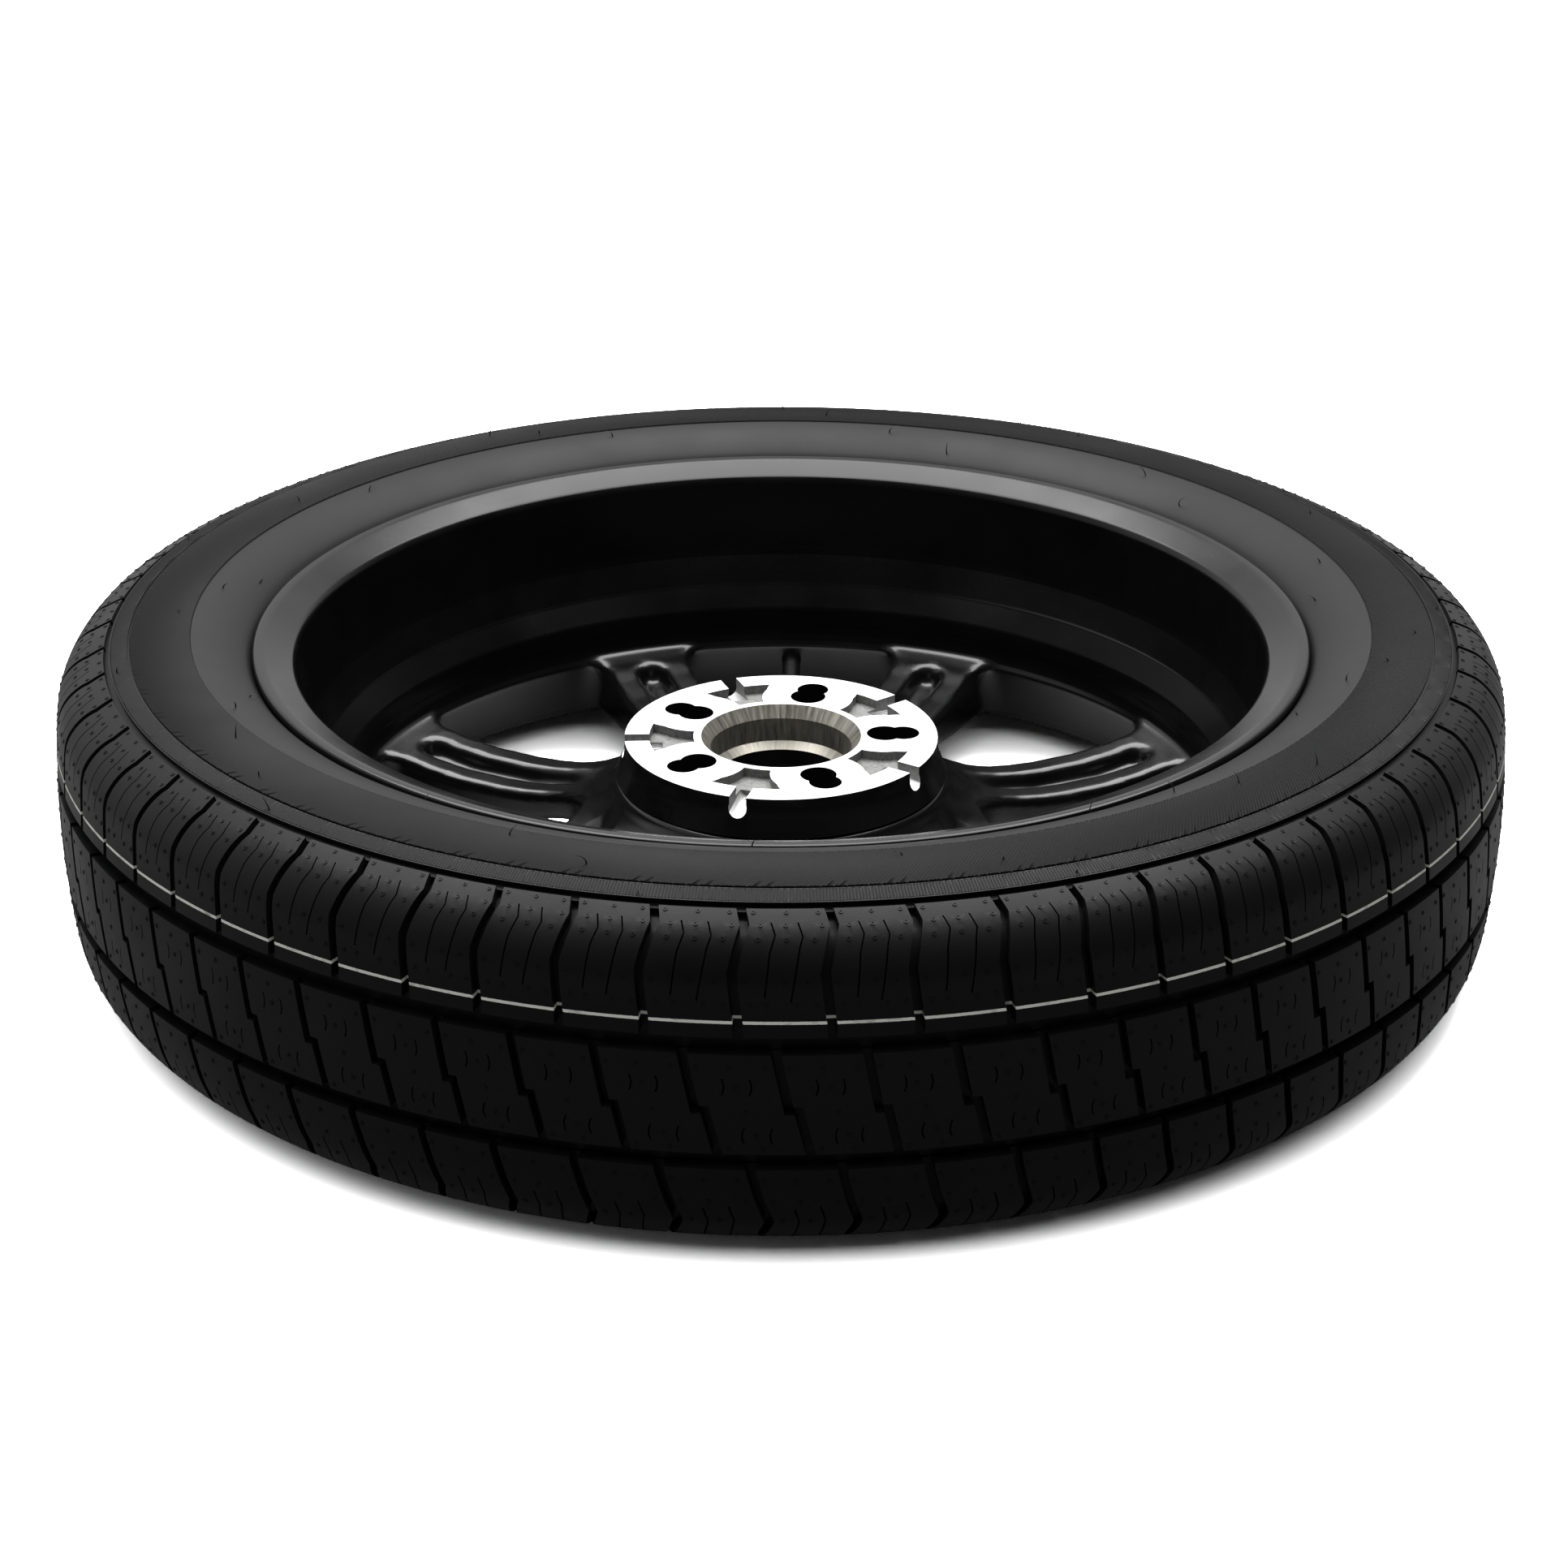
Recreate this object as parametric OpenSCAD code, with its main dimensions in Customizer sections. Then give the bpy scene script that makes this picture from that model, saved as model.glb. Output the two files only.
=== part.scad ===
// Temporary spare wheel: a narrow radial tyre on an eight-spoke cast wheel,
// lying on its outer face with the mounting side up, and its snap-in valve.
// Origin: centre of the footprint on the ground, +Z along the wheel axis.

/* [Rim] */
// Bead seat diameter
seat_d = 512.8; // [510:0.1:514]
// Distance between the two flanges
rim_w = 127; // [122:1:130]
// Height of a flange over the bead seat
flange_h = 17.5; // [16:0.5:19]
// Radius of the drop well on the tyre side
well_r = 238.5; // [237:0.5:240]

/* [Tyre] */
// Overall diameter of the tyre
tyre_d = 753; // [745:1:760]
// Section width of the tyre
tyre_w = 175; // [170:1:180]
// Depth of the tread grooves
groove_depth = 6.5; // [3:0.5:7]
// Width of each of the two grooves that run round the tread
groove_w = 8; // [5:0.5:10]
// Half width of the centre rib
rib_half = 24.5; // [20:0.5:28]
// Width of the grooves that run across the tread, on the longest blocks
cross_w = 4.5; // [3:0.5:6]
// Depth of those grooves
cross_depth = 5.4; // [2:0.1:6.5]
// Turn of the tread about the axis
tread_turn = -143.5; // [-150:0.5:-137]

/* [Spokes] */
// Number of spokes
spoke_count = 8; // [7:1:8]
// Width of a spoke
spoke_w = 50; // [44:1:54]
// Height of the back of the spokes over the ground
spoke_back_z = 58; // [56:1:59]
// Radius of the inner end of the windows
window_in_r = 107; // [104:1:112]
// Width of the groove along the back of each spoke
spoke_groove_w = 15; // [10:0.5:18]
// Depth of that groove
spoke_groove_depth = 10; // [6:0.5:12]
// Turn of the spokes about the axis
spoke_turn = -1.5; // [-4:0.5:4]

/* [Hub] */
// Height of the mounting pad over the ground
pad_z = 99; // [97:1:102]
// Radius of the mounting pad
pad_r = 83; // [80:0.5:85]
// Radius of the bore that centres the wheel
bore_r = 37.5; // [36:0.1:38]
// Diameter of the small circle of bolt holes
bolt_circle_a = 110; // [108:1:112]
// Diameter of the large circle of bolt holes
bolt_circle_b = 130; // [127:1:132]
// Diameter of the holes on the small circle
bolt_hole_a = 19; // [17:0.5:19]
// Diameter of the holes on the large circle
bolt_hole_b = 17; // [15:0.5:18]
// Turn of the bolt holes about the axis
bolt_turn = 2.5; // [-5:0.5:5]

/* [Valve] */
// Diameter of the valve hole in the rim
valve_hole_d = 11.5; // [11:0.1:12]

/* [Hidden] */
$fn = 96;

mid_z = tyre_w / 2;
seat_r = seat_d / 2;
flange_r = seat_r + flange_h;
half_w = rim_w / 2;
tyre_r = tyre_d / 2;
bolt_count = 5;

// Rim section, as radius and height over the middle plane
lip_r = 9.5;
lip_c = [flange_r - lip_r, half_w + lip_r];
toe = [seat_r - 1.7, 44];
bead_fillet = 6.5;
slope_tilt = 44;
slope_top = [well_r, -25.5];
slope_end = slope_top + 18.5 * [cos(slope_tilt), -sin(slope_tilt)];
window_top = [230, 57];
window_foot = [252, 21.5];

// Spoke section, as radius and height over the ground
hub_front_z = 46;
back_line = [[pad_r, pad_z], [pad_r, pad_z - 4], [84.5, 88], [88, 79], [94, 72], [103, 66.5],
    [116, 62.3], [135, 59.6], [160, spoke_back_z], [233.5, spoke_back_z]];
front_line = [window_foot, [200, 25], [140, 33], [100, 42], [84, hub_front_z]];
window_end_r = 20;
window_corner_r = 14;
blend_bite = 0.06;
spoke_half_a = 180 / spoke_count;
groove_in_r = 99;
groove_out_r = 217;

// Hub section
hole_r = 33;
ledge_z = 76.2;
bore_z = 79.7;
chamfer = [5, 6.3];
bolt_circles = [bolt_circle_a / 2, bolt_circle_b / 2];
bolt_rs = [bolt_hole_a / 2, bolt_hole_b / 2];
nut_seat_z = 78;
nut_well_r = 15;
pocket_depth = 5;
pocket_span = [46.5, 70];
pocket_clear = 24.7;
pocket_clear_at = [54, 63.5];
slot_r = 4.8;
slot_half_w = 4.5;

// Valve place: on the slope of the drop well, in the middle of a window
valve_az = 90 + spoke_turn;
valve_wall = 4;
spot_cut = 0.3;
valve_on_slope = slope_top + 9.3 * [cos(slope_tilt), -sin(slope_tilt)];
valve_seat = valve_on_slope - (valve_wall + spot_cut) * [sin(slope_tilt), cos(slope_tilt)];
valve_pocket_r = 8.4;

// Valve parts, measured along the valve from the outer face of the rim
stem_r = 3.87;
stem_top = 33;
stem_foot = -9.3;
rubber_top = 24;
thread_r = 2.6;
chamber_r = 2.1;
core_top = 31.6;
core_low = 18;
barrel_r = 1.9;
pin_r = 0.5;
seal_low = 17;
spring_low = 19.2;
spring_top = 25.4;
cap_r = 5;
cap_low = 24.6;
cap_top = 36.5;

function arc(c, r, a, b, n) =
    [for (i = [0 : n]) c + r * [cos(a + (b - a) * i / n), sin(a + (b - a) * i / n)]];
function back(p) = [for (i = [len(p) - 1 : -1 : 0]) p[i]];
function other_side(p) = [for (q = back(p)) [q[0], -q[1]]];
function lift(p) = [for (q = p) [q[0], q[1] + mid_z]];

// Seat and flange from the toe of the bead outwards, shared by the rim and the tyre
function bead_line(lip_end) = concat([toe],
    arc([seat_r + bead_fillet, half_w - bead_fillet], bead_fillet, 180, 90, 4),
    arc(lip_c, lip_r, -90, lip_end, (lip_end + 90) / 15));

// Tyre section: two arcs for the sidewall, one for the shoulder and one for the crown
crown_h = 53.4;
crown_drop = 3.2;
crown_r = (crown_h * crown_h + crown_drop * crown_drop) / (2 * crown_drop);
crown_a = asin(crown_h / crown_r);
crown_c = [tyre_r - crown_r, 0];
shoulder_r = 30.6;
shoulder_c = crown_c + (crown_r - shoulder_r) * [cos(crown_a), sin(crown_a)];
shoulder_a = 62.6;
wide_r = 313;
lower_r = 55.9;
upper_r = 95.8;
upper_c = [wide_r, mid_z - upper_r];
liner = [[toe[0] + 3, toe[1] - 1], [262, 47], [271, 55], [281, 63.5], [292, 72], [304, mid_z - 9],
    [318, mid_z - 8], [334, mid_z - 10.5], [346, 70], [354, 61], [359, 47], [361.5, 24]];

function tyre_line() = concat(bead_line(-30),
    arc([wide_r, mid_z - lower_r], lower_r, 131, 90, 8),
    arc(upper_c, upper_r, 86, shoulder_a, 4),
    arc(shoulder_c, shoulder_r, shoulder_a, crown_a, 5),
    [crown_c + crown_r * [cos(crown_a / 2), sin(crown_a / 2)]]);

// Tread blocks in their order round the tyre, each short, medium or long
block_order = "sssmmsmmllmlmsssmsssmmlsmsmllsmmlsmslmmlssmlsmsmllsmmlsmslmmlss";
block_sizes = [["s", 5.38], ["m", 5.75], ["l", 6.2]];
long_size = block_sizes[2][1];
sizes = [for (c = block_order) block_sizes[search(c, block_sizes)[0]][1]];
starts = [for (i = 0, a = 0; i < len(sizes); a = a + sizes[i], i = i + 1) a];
turn_per_size = 360 / (starts[len(starts) - 1] + sizes[len(sizes) - 1]);

// Cross grooves: sections of the cuts in the middle rib, the outer ribs and the shoulder,
// as radius and height over the middle plane
cross_top_r = tyre_r + 3;
cross_floor = arc(shoulder_c, shoulder_r - cross_depth, crown_a, shoulder_a, 3);
bend_z = cross_floor[1][1];
cross_end_a = 68.6;
cross_end = [cos(cross_end_a), sin(cross_end_a)];
rib_cut = [[tyre_r - cross_depth, rib_half + 1], [tyre_r - cross_depth, -rib_half - 1],
    [cross_top_r, -rib_half - 1], [cross_top_r, rib_half + 1]];
outer_cut = [[cross_top_r, rib_half + 5], [tyre_r - 1 - cross_depth, rib_half + 5],
    cross_floor[0], cross_floor[1], [cross_top_r, bend_z]];
shoulder_cut = [[cross_top_r, bend_z - 2], [cross_floor[1][0] + 0.8, bend_z - 2], cross_floor[2], cross_floor[3],
    upper_c + (upper_r - cross_depth) * cross_end, upper_c + (upper_r + 3) * cross_end,
    [cross_top_r, mid_z + 1]];

// Cuts of a block: their section, how far they lie along the tread, at what height, and how they lean.
// The first number says how much of a block the rib lies behind the upper one.
cross_cuts = [
    [0, outer_cut, 0, rib_half, 5.2],
    [0, shoulder_cut, -2.8, bend_z, -12.1],
    [0.403, rib_cut, 7.7, 0, 17],
    [0.13, other_side(outer_cut), 0, -rib_half - 8, 15.4],
    [0.13, other_side(shoulder_cut), 7.8, -bend_z, -18.9]];

module cross_grooves() {
    for (k = [0 : len(sizes) - 1], cut = cross_cuts) {
        stretch = sizes[k] / long_size;
        rotate(tread_turn + (starts[k] + cut[0] * sizes[k]) * turn_per_size)
            translate([0, cut[2] * stretch, mid_z + cut[3]]) rotate([cut[4] * stretch, 0, 0])
                translate([0, 0, -cut[3]]) rotate([90, 0, 0])
                    linear_extrude(cross_w * stretch, center = true) polygon(cut[1]);
    }
}

module tyre() {
    color([0.09, 0.09, 0.095]) difference() {
        rotate_extrude($fn = 180) difference() {
            polygon(lift(concat(tyre_line(), [[tyre_r, 0]], other_side(tyre_line()),
                other_side(back(liner)), [[362, 0]], back(liner))));
            for (side = [-1, 1])
                translate([tyre_r - 0.4 - groove_depth, mid_z + side * (rib_half + groove_w / 2) - groove_w / 2])
                    square([groove_depth + 5, groove_w]);
        }
        cross_grooves();
    }
}

// Flanges, bead seats, drop well and barrel, turned round the axis
module rim() {
    lip = [[flange_r - 0.5, half_w + 11.2], [flange_r - 2, half_w + 11.8], [268, half_w + 11.4]];
    barrel = [[253.5, half_w + 5.3], [252, half_w + 2.5], [248.5, 25.5], [243.3, 5], [233, -6.5],
        [233, -27.5], window_top - [0, mid_z], window_foot - [0, mid_z]];
    well = [slope_end, slope_top, [well_r, -5.5], [249.5, 5.5], [254, 25]];
    rotate_extrude($fn = 180) polygon(lift(concat(lip, barrel, other_side(lip),
        other_side(bead_line(0)), well, bead_line(0))));
}

// The whole disc between the bore and the rim, before its openings
module disc() {
    rotate_extrude($fn = 180) polygon(concat(
        [[hole_r, hub_front_z], [hole_r, ledge_z], [bore_r, bore_z], [bore_r, pad_z - chamfer[1]],
        [bore_r + chamfer[0], pad_z]], back_line, [[235, 55], [253, 24]], front_line));
}

module each_spoke(offset_a = 0) {
    for (i = [0 : spoke_count - 1])
        rotate(spoke_turn + spoke_half_a + offset_a + i * 360 / spoke_count) children();
}

// A window between two spokes, with both sides parallel to its spokes; the round ends bite a little
// into the straight edges, so that the surfaces cross instead of touching
module window_outline() {
    end_x = window_in_r + window_end_r;
    end_y = (end_x * sin(spoke_half_a) - spoke_w / 2 - window_end_r) / cos(spoke_half_a);
    reach = window_end_r - blend_bite;
    side = [end_x - reach * sin(spoke_half_a), end_y + reach * cos(spoke_half_a)];
    far = side + 160 * [cos(spoke_half_a), sin(spoke_half_a)];
    polygon([[end_x - reach, -end_y], [end_x - reach, end_y], side, far, [far[0], -far[1]],
        [side[0], -side[1]]]);
    for (s = [-1, 1]) translate([end_x, s * end_y]) circle(window_end_r);
}

module windows() {
    intersection() {
        each_spoke(spoke_half_a) translate([0, 0, 5]) linear_extrude(pad_z) window_outline();
        rotate_extrude($fn = 180) polygon([[60, 4], [window_foot[0], 4], window_foot, window_top,
            [window_top[0], pad_z + 8], [60, pad_z + 8]]);
    }
}

// Metal left in the two outer corners beside each spoke, along the slope of the rim
module window_corners() {
    centre_y = spoke_w / 2 + window_corner_r - blend_bite;
    top_x = sqrt(pow(window_top[0] - window_corner_r, 2) - centre_y * centre_y);
    tilt = atan2(window_foot[0] - window_top[0], window_top[1] - window_foot[1]);
    each_spoke() for (s = [-1, 1])
        translate([top_x, s * centre_y, window_top[1]]) rotate([0, 180 - tilt, 0])
            translate([0, 0, -12]) linear_extrude(66) difference() {
                translate([-window_corner_r - 3, s < 0 ? 0 : -window_corner_r - 4])
                    square([window_corner_r + 3, window_corner_r + 4]);
                circle(window_corner_r);
            }
}

// The groove along the back of a spoke, with a round outer end
module spoke_groove() {
    floor_z = spoke_back_z - spoke_groove_depth;
    end_x = groove_out_r - spoke_groove_w / 2;
    rotate([90, 0, 0]) linear_extrude(spoke_groove_w, center = true)
        polygon([[groove_in_r, 68.5], [116, 57], [136, floor_z + 2], [160, floor_z], [end_x, floor_z],
            [end_x, pad_z], [groove_in_r, pad_z]]);
    translate([end_x, 0, floor_z]) cylinder(d = spoke_groove_w, h = 50);
}

// Bolt holes drilled on both circles, each with a nut seat and a well from the outer face
module bolt_holes() {
    for (i = [0 : bolt_count - 1]) rotate(bolt_turn + i * 360 / bolt_count) {
        for (k = [0, 1]) translate([bolt_circles[k], 0, 0]) {
            translate([0, 0, hub_front_z - 20]) cylinder(r = bolt_rs[k], h = 90);
            translate([0, 0, nut_seat_z]) cylinder(r1 = bolt_rs[k] + 4, r2 = bolt_rs[k], h = 6);
            translate([0, 0, hub_front_z - 20]) cylinder(r = nut_well_r, h = nut_seat_z - hub_front_z + 20);
        }
        translate([bolt_circles[0], -nut_well_r, hub_front_z - 20])
            cube([bolt_circles[1] - bolt_circles[0], 2 * nut_well_r, nut_seat_z - hub_front_z + 20]);
    }
}

// Cast pockets between the bolt holes, each with a round drain slot out through the pad's edge
module hub_pockets() {
    for (i = [0 : bolt_count - 1]) rotate(bolt_turn + (i + 0.5) * 360 / bolt_count) {
        translate([0, 0, pad_z - pocket_depth]) linear_extrude(20) difference() {
            intersection() {
                circle(pocket_span[1]);
                polygon([[0, 0], [90, -50], [90, 50]]);
            }
            circle(pocket_span[0]);
            for (s = [-36, 36], r = pocket_clear_at) rotate(s) translate([r, 0]) circle(pocket_clear);
        }
        translate([63, 0, pad_z - 3.2]) rotate([0, 98, 0]) cylinder(r = slot_r, h = 30);
        translate([63, -slot_half_w, pad_z - 4.6]) cube([24, 2 * slot_half_w, 20]);
    }
}

module at_valve() {
    rotate(valve_az) translate([valve_seat[0], 0, valve_seat[1] + mid_z]) rotate([0, 180 + slope_tilt, 0])
        children();
}

module valve_hole() {
    at_valve() {
        translate([0, 0, -valve_wall - 3]) cylinder(d = valve_hole_d, h = valve_wall + 6);
        translate([0, 0, -valve_wall - 12]) cylinder(r = 9.4, h = 12);
        cylinder(r = valve_pocket_r, h = 34);
    }
}

module wheel() {
    color([0.08, 0.08, 0.085]) difference() {
        union() {
            rim();
            difference() {
                disc();
                windows();
            }
            intersection() {
                disc();
                window_corners();
            }
        }
        each_spoke() spoke_groove();
        bolt_holes();
        hub_pockets();
        valve_hole();
    }
}

// Moulded rubber body, gripping the valve hole between its bulb and its flare
module valve_rubber() {
    hole = valve_hole_d / 2;
    color([0.06, 0.06, 0.06]) at_valve() rotate_extrude() polygon([[1.6, -11.5], [7, -11.5], [8.8, -9.5],
        [9, -valve_wall], [hole, -valve_wall], [hole, 0], [7.6, 0], [7.5, 1.4], [6.3, 5], [5.5, 11],
        [5, rubber_top], [stem_r, rubber_top], [stem_r, -6], [4.9, -8.4], [4.9, stem_foot], [1.6, stem_foot]]);
}

module valve_stem() {
    color([0.78, 0.62, 0.3]) at_valve() rotate_extrude() polygon([[1.5, stem_foot], [4.9, stem_foot],
        [4.9, -8.4], [stem_r, -6], [stem_r, stem_top - 0.6], [stem_r - 0.6, stem_top], [3.1, stem_top],
        [thread_r, stem_top - 0.6], [thread_r, 25.6], [chamber_r, 24.5], [chamber_r, 10], [1.5, 9]]);
}

// Plug and barrel of the valve core; the plug is slotted for a core key
module core_body() {
    color([0.8, 0.66, 0.36]) at_valve() difference() {
        rotate_extrude() polygon([[0.7, core_low], [barrel_r, core_low], [barrel_r, 27], [thread_r, 27],
            [thread_r, core_top - 0.3], [thread_r - 0.3, core_top], [0.9, core_top], [0.9, 27],
            [1.45, 26.6], [1.45, spring_low], [0.7, spring_low]]);
        for (s = [-1, 1]) translate([s * 3, 0, core_top - 1.3]) cube([3.2, 7, 3], center = true);
    }
}

module core_gasket() {
    color([0.85, 0.85, 0.82]) at_valve() rotate_extrude()
        polygon([[barrel_r, 24.6], [2.1455, 24.6], [thread_r, 25.6], [thread_r, 27], [barrel_r, 27]]);
}

module core_pin() {
    color([0.8, 0.7, 0.42]) at_valve() rotate_extrude() polygon([[0, 15.2], [1.6, 15.2], [1.75, 15.5],
        [1.75, seal_low], [pin_r, seal_low], [pin_r, spring_top], [1.2, spring_top], [1.2, spring_top + 0.6],
        [pin_r, spring_top + 0.9], [pin_r, 32.3], [0.3, 32.5], [0, 32.5]]);
}

module core_cup_seal() {
    color([0.12, 0.12, 0.12]) at_valve() rotate_extrude()
        polygon([[pin_r, seal_low], [1.75, seal_low], [1.75, core_low], [pin_r, core_low]]);
}

// Coil spring round the pin, swept along a helix
spring_turns = 7;
spring_steps = 12;
spring_wire = 0.16;
spring_mean_r = 1.05;
function spring_ring(k) = let (a = k * 360 / spring_steps,
        z = spring_low + spring_wire + (spring_top - spring_low - 2 * spring_wire) * k / (spring_turns * spring_steps))
    [for (j = [0 : 5]) let (r = spring_mean_r + spring_wire * cos(60 * j))
        [r * cos(a), r * sin(a), z + spring_wire * sin(60 * j)]];

module core_spring() {
    last = spring_turns * spring_steps;
    points = [for (k = [0 : last]) each spring_ring(k)];
    sides = [for (k = [0 : last - 1], j = [0 : 5])
        [6 * k + j, 6 * k + (j + 1) % 6, 6 * k + 6 + (j + 1) % 6, 6 * k + 6 + j]];
    ends = [[5, 4, 3, 2, 1, 0], [for (j = [0 : 5]) 6 * last + j]];
    color([0.75, 0.75, 0.78]) at_valve() polyhedron(points, concat(sides, ends));
}

// Screw cap with grip grooves round its side
module valve_cap() {
    color([0.05, 0.05, 0.05]) at_valve() difference() {
        rotate_extrude() polygon([[3.95, cap_low], [cap_r - 0.3, cap_low], [cap_r, cap_low + 0.5],
            [cap_r - 0.3, cap_top - 1], [cap_r - 1.2, cap_top], [0, cap_top], [0, 34], [3.95, 34]]);
        for (i = [0 : 11]) rotate(i * 30) translate([cap_r + 0.3, 0, cap_low - 1]) cylinder(r = 0.7, h = 9, $fn = 24);
    }
}

module cap_seal() {
    color([0.15, 0.15, 0.15]) at_valve() translate([0, 0, stem_top]) cylinder(r = 3.95, h = 1);
}

tyre();
wheel();
valve_rubber();
valve_stem();
core_body();
core_gasket();
core_pin();
core_cup_seal();
core_spring();
valve_cap();
cap_seal();
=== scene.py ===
"""Spare wheel: a narrow radial tyre on a black cast wheel, lying with its mounting side up.

Lengths are millimetres until a mesh is made, and angles are degrees unless a name says otherwise.
"""

import math

import bpy
import numpy as np
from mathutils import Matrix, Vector
from mathutils.geometry import delaunay_2d_cdt


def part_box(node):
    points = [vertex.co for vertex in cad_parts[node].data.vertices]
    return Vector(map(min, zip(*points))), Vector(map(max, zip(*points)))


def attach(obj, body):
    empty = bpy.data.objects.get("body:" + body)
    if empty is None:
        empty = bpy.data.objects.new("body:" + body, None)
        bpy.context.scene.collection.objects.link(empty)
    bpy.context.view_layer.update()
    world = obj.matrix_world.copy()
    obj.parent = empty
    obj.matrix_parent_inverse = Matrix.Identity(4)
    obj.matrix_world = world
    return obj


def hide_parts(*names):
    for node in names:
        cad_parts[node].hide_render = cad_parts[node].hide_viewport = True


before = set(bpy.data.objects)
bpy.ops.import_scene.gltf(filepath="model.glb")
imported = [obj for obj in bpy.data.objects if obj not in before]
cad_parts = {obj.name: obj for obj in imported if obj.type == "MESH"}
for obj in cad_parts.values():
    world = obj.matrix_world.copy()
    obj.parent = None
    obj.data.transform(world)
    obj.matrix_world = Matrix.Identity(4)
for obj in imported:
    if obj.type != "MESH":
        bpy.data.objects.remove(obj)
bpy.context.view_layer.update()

MM = 0.001

# Camera of the photo
IMAGE_PX = 1932
SENSOR_MM = 36.0
FOCAL_PX = 4160
CAMERA_AT = (0.0001, -1.644, 0.809)
CAMERA_DOWN = 24.19
CAMERA_YAW = -0.05

# Tyre section: R is a radius, H a height over the middle plane, A an angle from the crown, C a centre
TYRE_LOW, TYRE_HIGH = (np.array(corner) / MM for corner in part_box("tyre"))
TYRE_R = 376.5
HALF_T = (TYRE_HIGH[2] - TYRE_LOW[2]) / 2
MID_Z = (TYRE_HIGH[2] + TYRE_LOW[2]) / 2
CROWN_H = 53.4
CROWN_DROP = 3.2
CROWN_R = (CROWN_H ** 2 + CROWN_DROP ** 2) / (2 * CROWN_DROP)
CROWN_A = math.degrees(math.asin(CROWN_H / CROWN_R))
CROWN_C = np.array([TYRE_R - CROWN_R, 0.0])
SHOULDER_R = 30.6
SHOULDER_C = CROWN_C + (CROWN_R - SHOULDER_R) * np.array(
    [math.cos(math.radians(CROWN_A)), math.sin(math.radians(CROWN_A))])
SHOULDER_A = 62.6
WIDE_R = 313.0
UPPER_R = 95.8
LOWER_R = 55.9
BEAD_A = 131.0

# Tread: the groups of short, medium and long blocks that follow each other round the tyre
PITCH_SIZES = {"s": 5.38, "m": 5.75, "l": 6.2}
FRONT_PITCHES = "sssmmsmmllmlmsssmsssm"
BACK_PITCHES = "mlsmsmllsmmlsmslmmlss"
FIRST_GROOVE = -143.54
PITCH_MM = 40.7
GROOVE_W = 4.5
SIPE_W = 0.8
GROOVE_DEPTH = 6.5
LATERAL_DEPTH = 5.4
SIPE_DEPTH = 3.5
SHOULDER_GROOVE_DEPTH = 2.4
NUB_H = 0.35
NUB_R = 1.15
NUB_DENT_H = 0.05
NUB_DENT_R = 0.5
RIB_END = 24.5
BAND_MID = 28.5
OUTER_RIB = 32.5
TREAD_END = 93.2
STRIP_END = 94.9
INNER_H = -11.0
COLUMNS = 8
SIDE_STEP = 3.5
SEAM_SHIFT = 3.5
CENTRE_PHASE = 16.4
LOWER_PHASE = 5.3

# Pale line round the tread, and the hatched band as arc lengths from the crown
LINE_Z = MID_Z + 39.6
LINE_HALF_W = 0.7
LINE_MIN_R = 360.0
HATCH_SPAN = (107.1, 138.0)


def arc_profile():
    """Arcs of half the outer section, from crown to bead, as centre, radius, two angles and length."""
    arcs = [(CROWN_C, CROWN_R, 0.0, CROWN_A), (SHOULDER_C, SHOULDER_R, CROWN_A, SHOULDER_A),
            (np.array([WIDE_R, HALF_T - UPPER_R]), UPPER_R, SHOULDER_A, 90.0),
            (np.array([WIDE_R, HALF_T - LOWER_R]), LOWER_R, 90.0, BEAD_A)]
    return [(c, r, a, b, r * math.radians(b - a)) for c, r, a, b in arcs]


ARCS = arc_profile()


def on_tyre(s, h):
    """Radius and height of points at arc length s from the crown, h over the tyre's outer surface."""
    s, h = np.broadcast_arrays(np.asarray(s, float), np.asarray(h, float))
    t, side = np.abs(s), np.where(s < 0, -1.0, 1.0)
    radius, height = np.zeros_like(t), np.zeros_like(t)
    start = 0.0
    for i, (centre, r, a, _, length) in enumerate(ARCS):
        inside = (t >= start) & ((t < start + length) | (i == len(ARCS) - 1))
        angle = np.radians(a) + (t - start) / r
        radius = np.where(inside, centre[0] + (r + h) * np.cos(angle), radius)
        height = np.where(inside, centre[1] + (r + h) * np.sin(angle), height)
        start += length
    return radius, MID_Z + side * height


def pitch_knots():
    """Angles at which the blocks start, once round and one more block at each end."""
    sizes = [PITCH_SIZES[c] for c in FRONT_PITCHES + 2 * BACK_PITCHES]
    sizes = np.array(sizes) * 360 / sum(sizes)
    angles = FIRST_GROOVE + np.concatenate([[0.0], np.cumsum(sizes)])
    return np.concatenate([[angles[0] - sizes[-1]], angles, [angles[-1] + sizes[0]]])


KNOTS = pitch_knots()
BLOCKS = len(KNOTS) - 3
HATCH_R = [float(on_tyre(s, 0)[0]) for s in HATCH_SPAN[::-1]]


def tread_angle(u):
    """Angle round the tyre of a length along the tread, where every block is PITCH_MM long."""
    return np.interp(u, PITCH_MM * np.arange(-1, BLOCKS + 2), KNOTS)


def to_xyz(radius, angle, height):
    a = np.radians(angle)
    radius, a, height = np.broadcast_arrays(radius, a, height)
    return np.stack([radius * np.cos(a), radius * np.sin(a), height], axis=-1)


def make_object(name, vertices, faces, material, sharp):
    """A piece from points in millimetres; edges that turn by more than sharp degrees stay sharp."""
    mesh = bpy.data.meshes.new(name)
    mesh.from_pydata((np.asarray(vertices) * MM).tolist(), [], [tuple(map(int, f)) for f in faces])
    mesh.validate()
    mesh.shade_smooth()
    mesh.set_sharp_from_angle(angle=math.radians(sharp))
    mesh.materials.append(material)
    piece = bpy.data.objects.new(name, mesh)
    bpy.context.scene.collection.objects.link(piece)
    return piece


def stand_for(piece, node):
    """Lets a fixed piece take the place of a CAD node."""
    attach(piece, "root")
    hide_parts(node)


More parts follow.
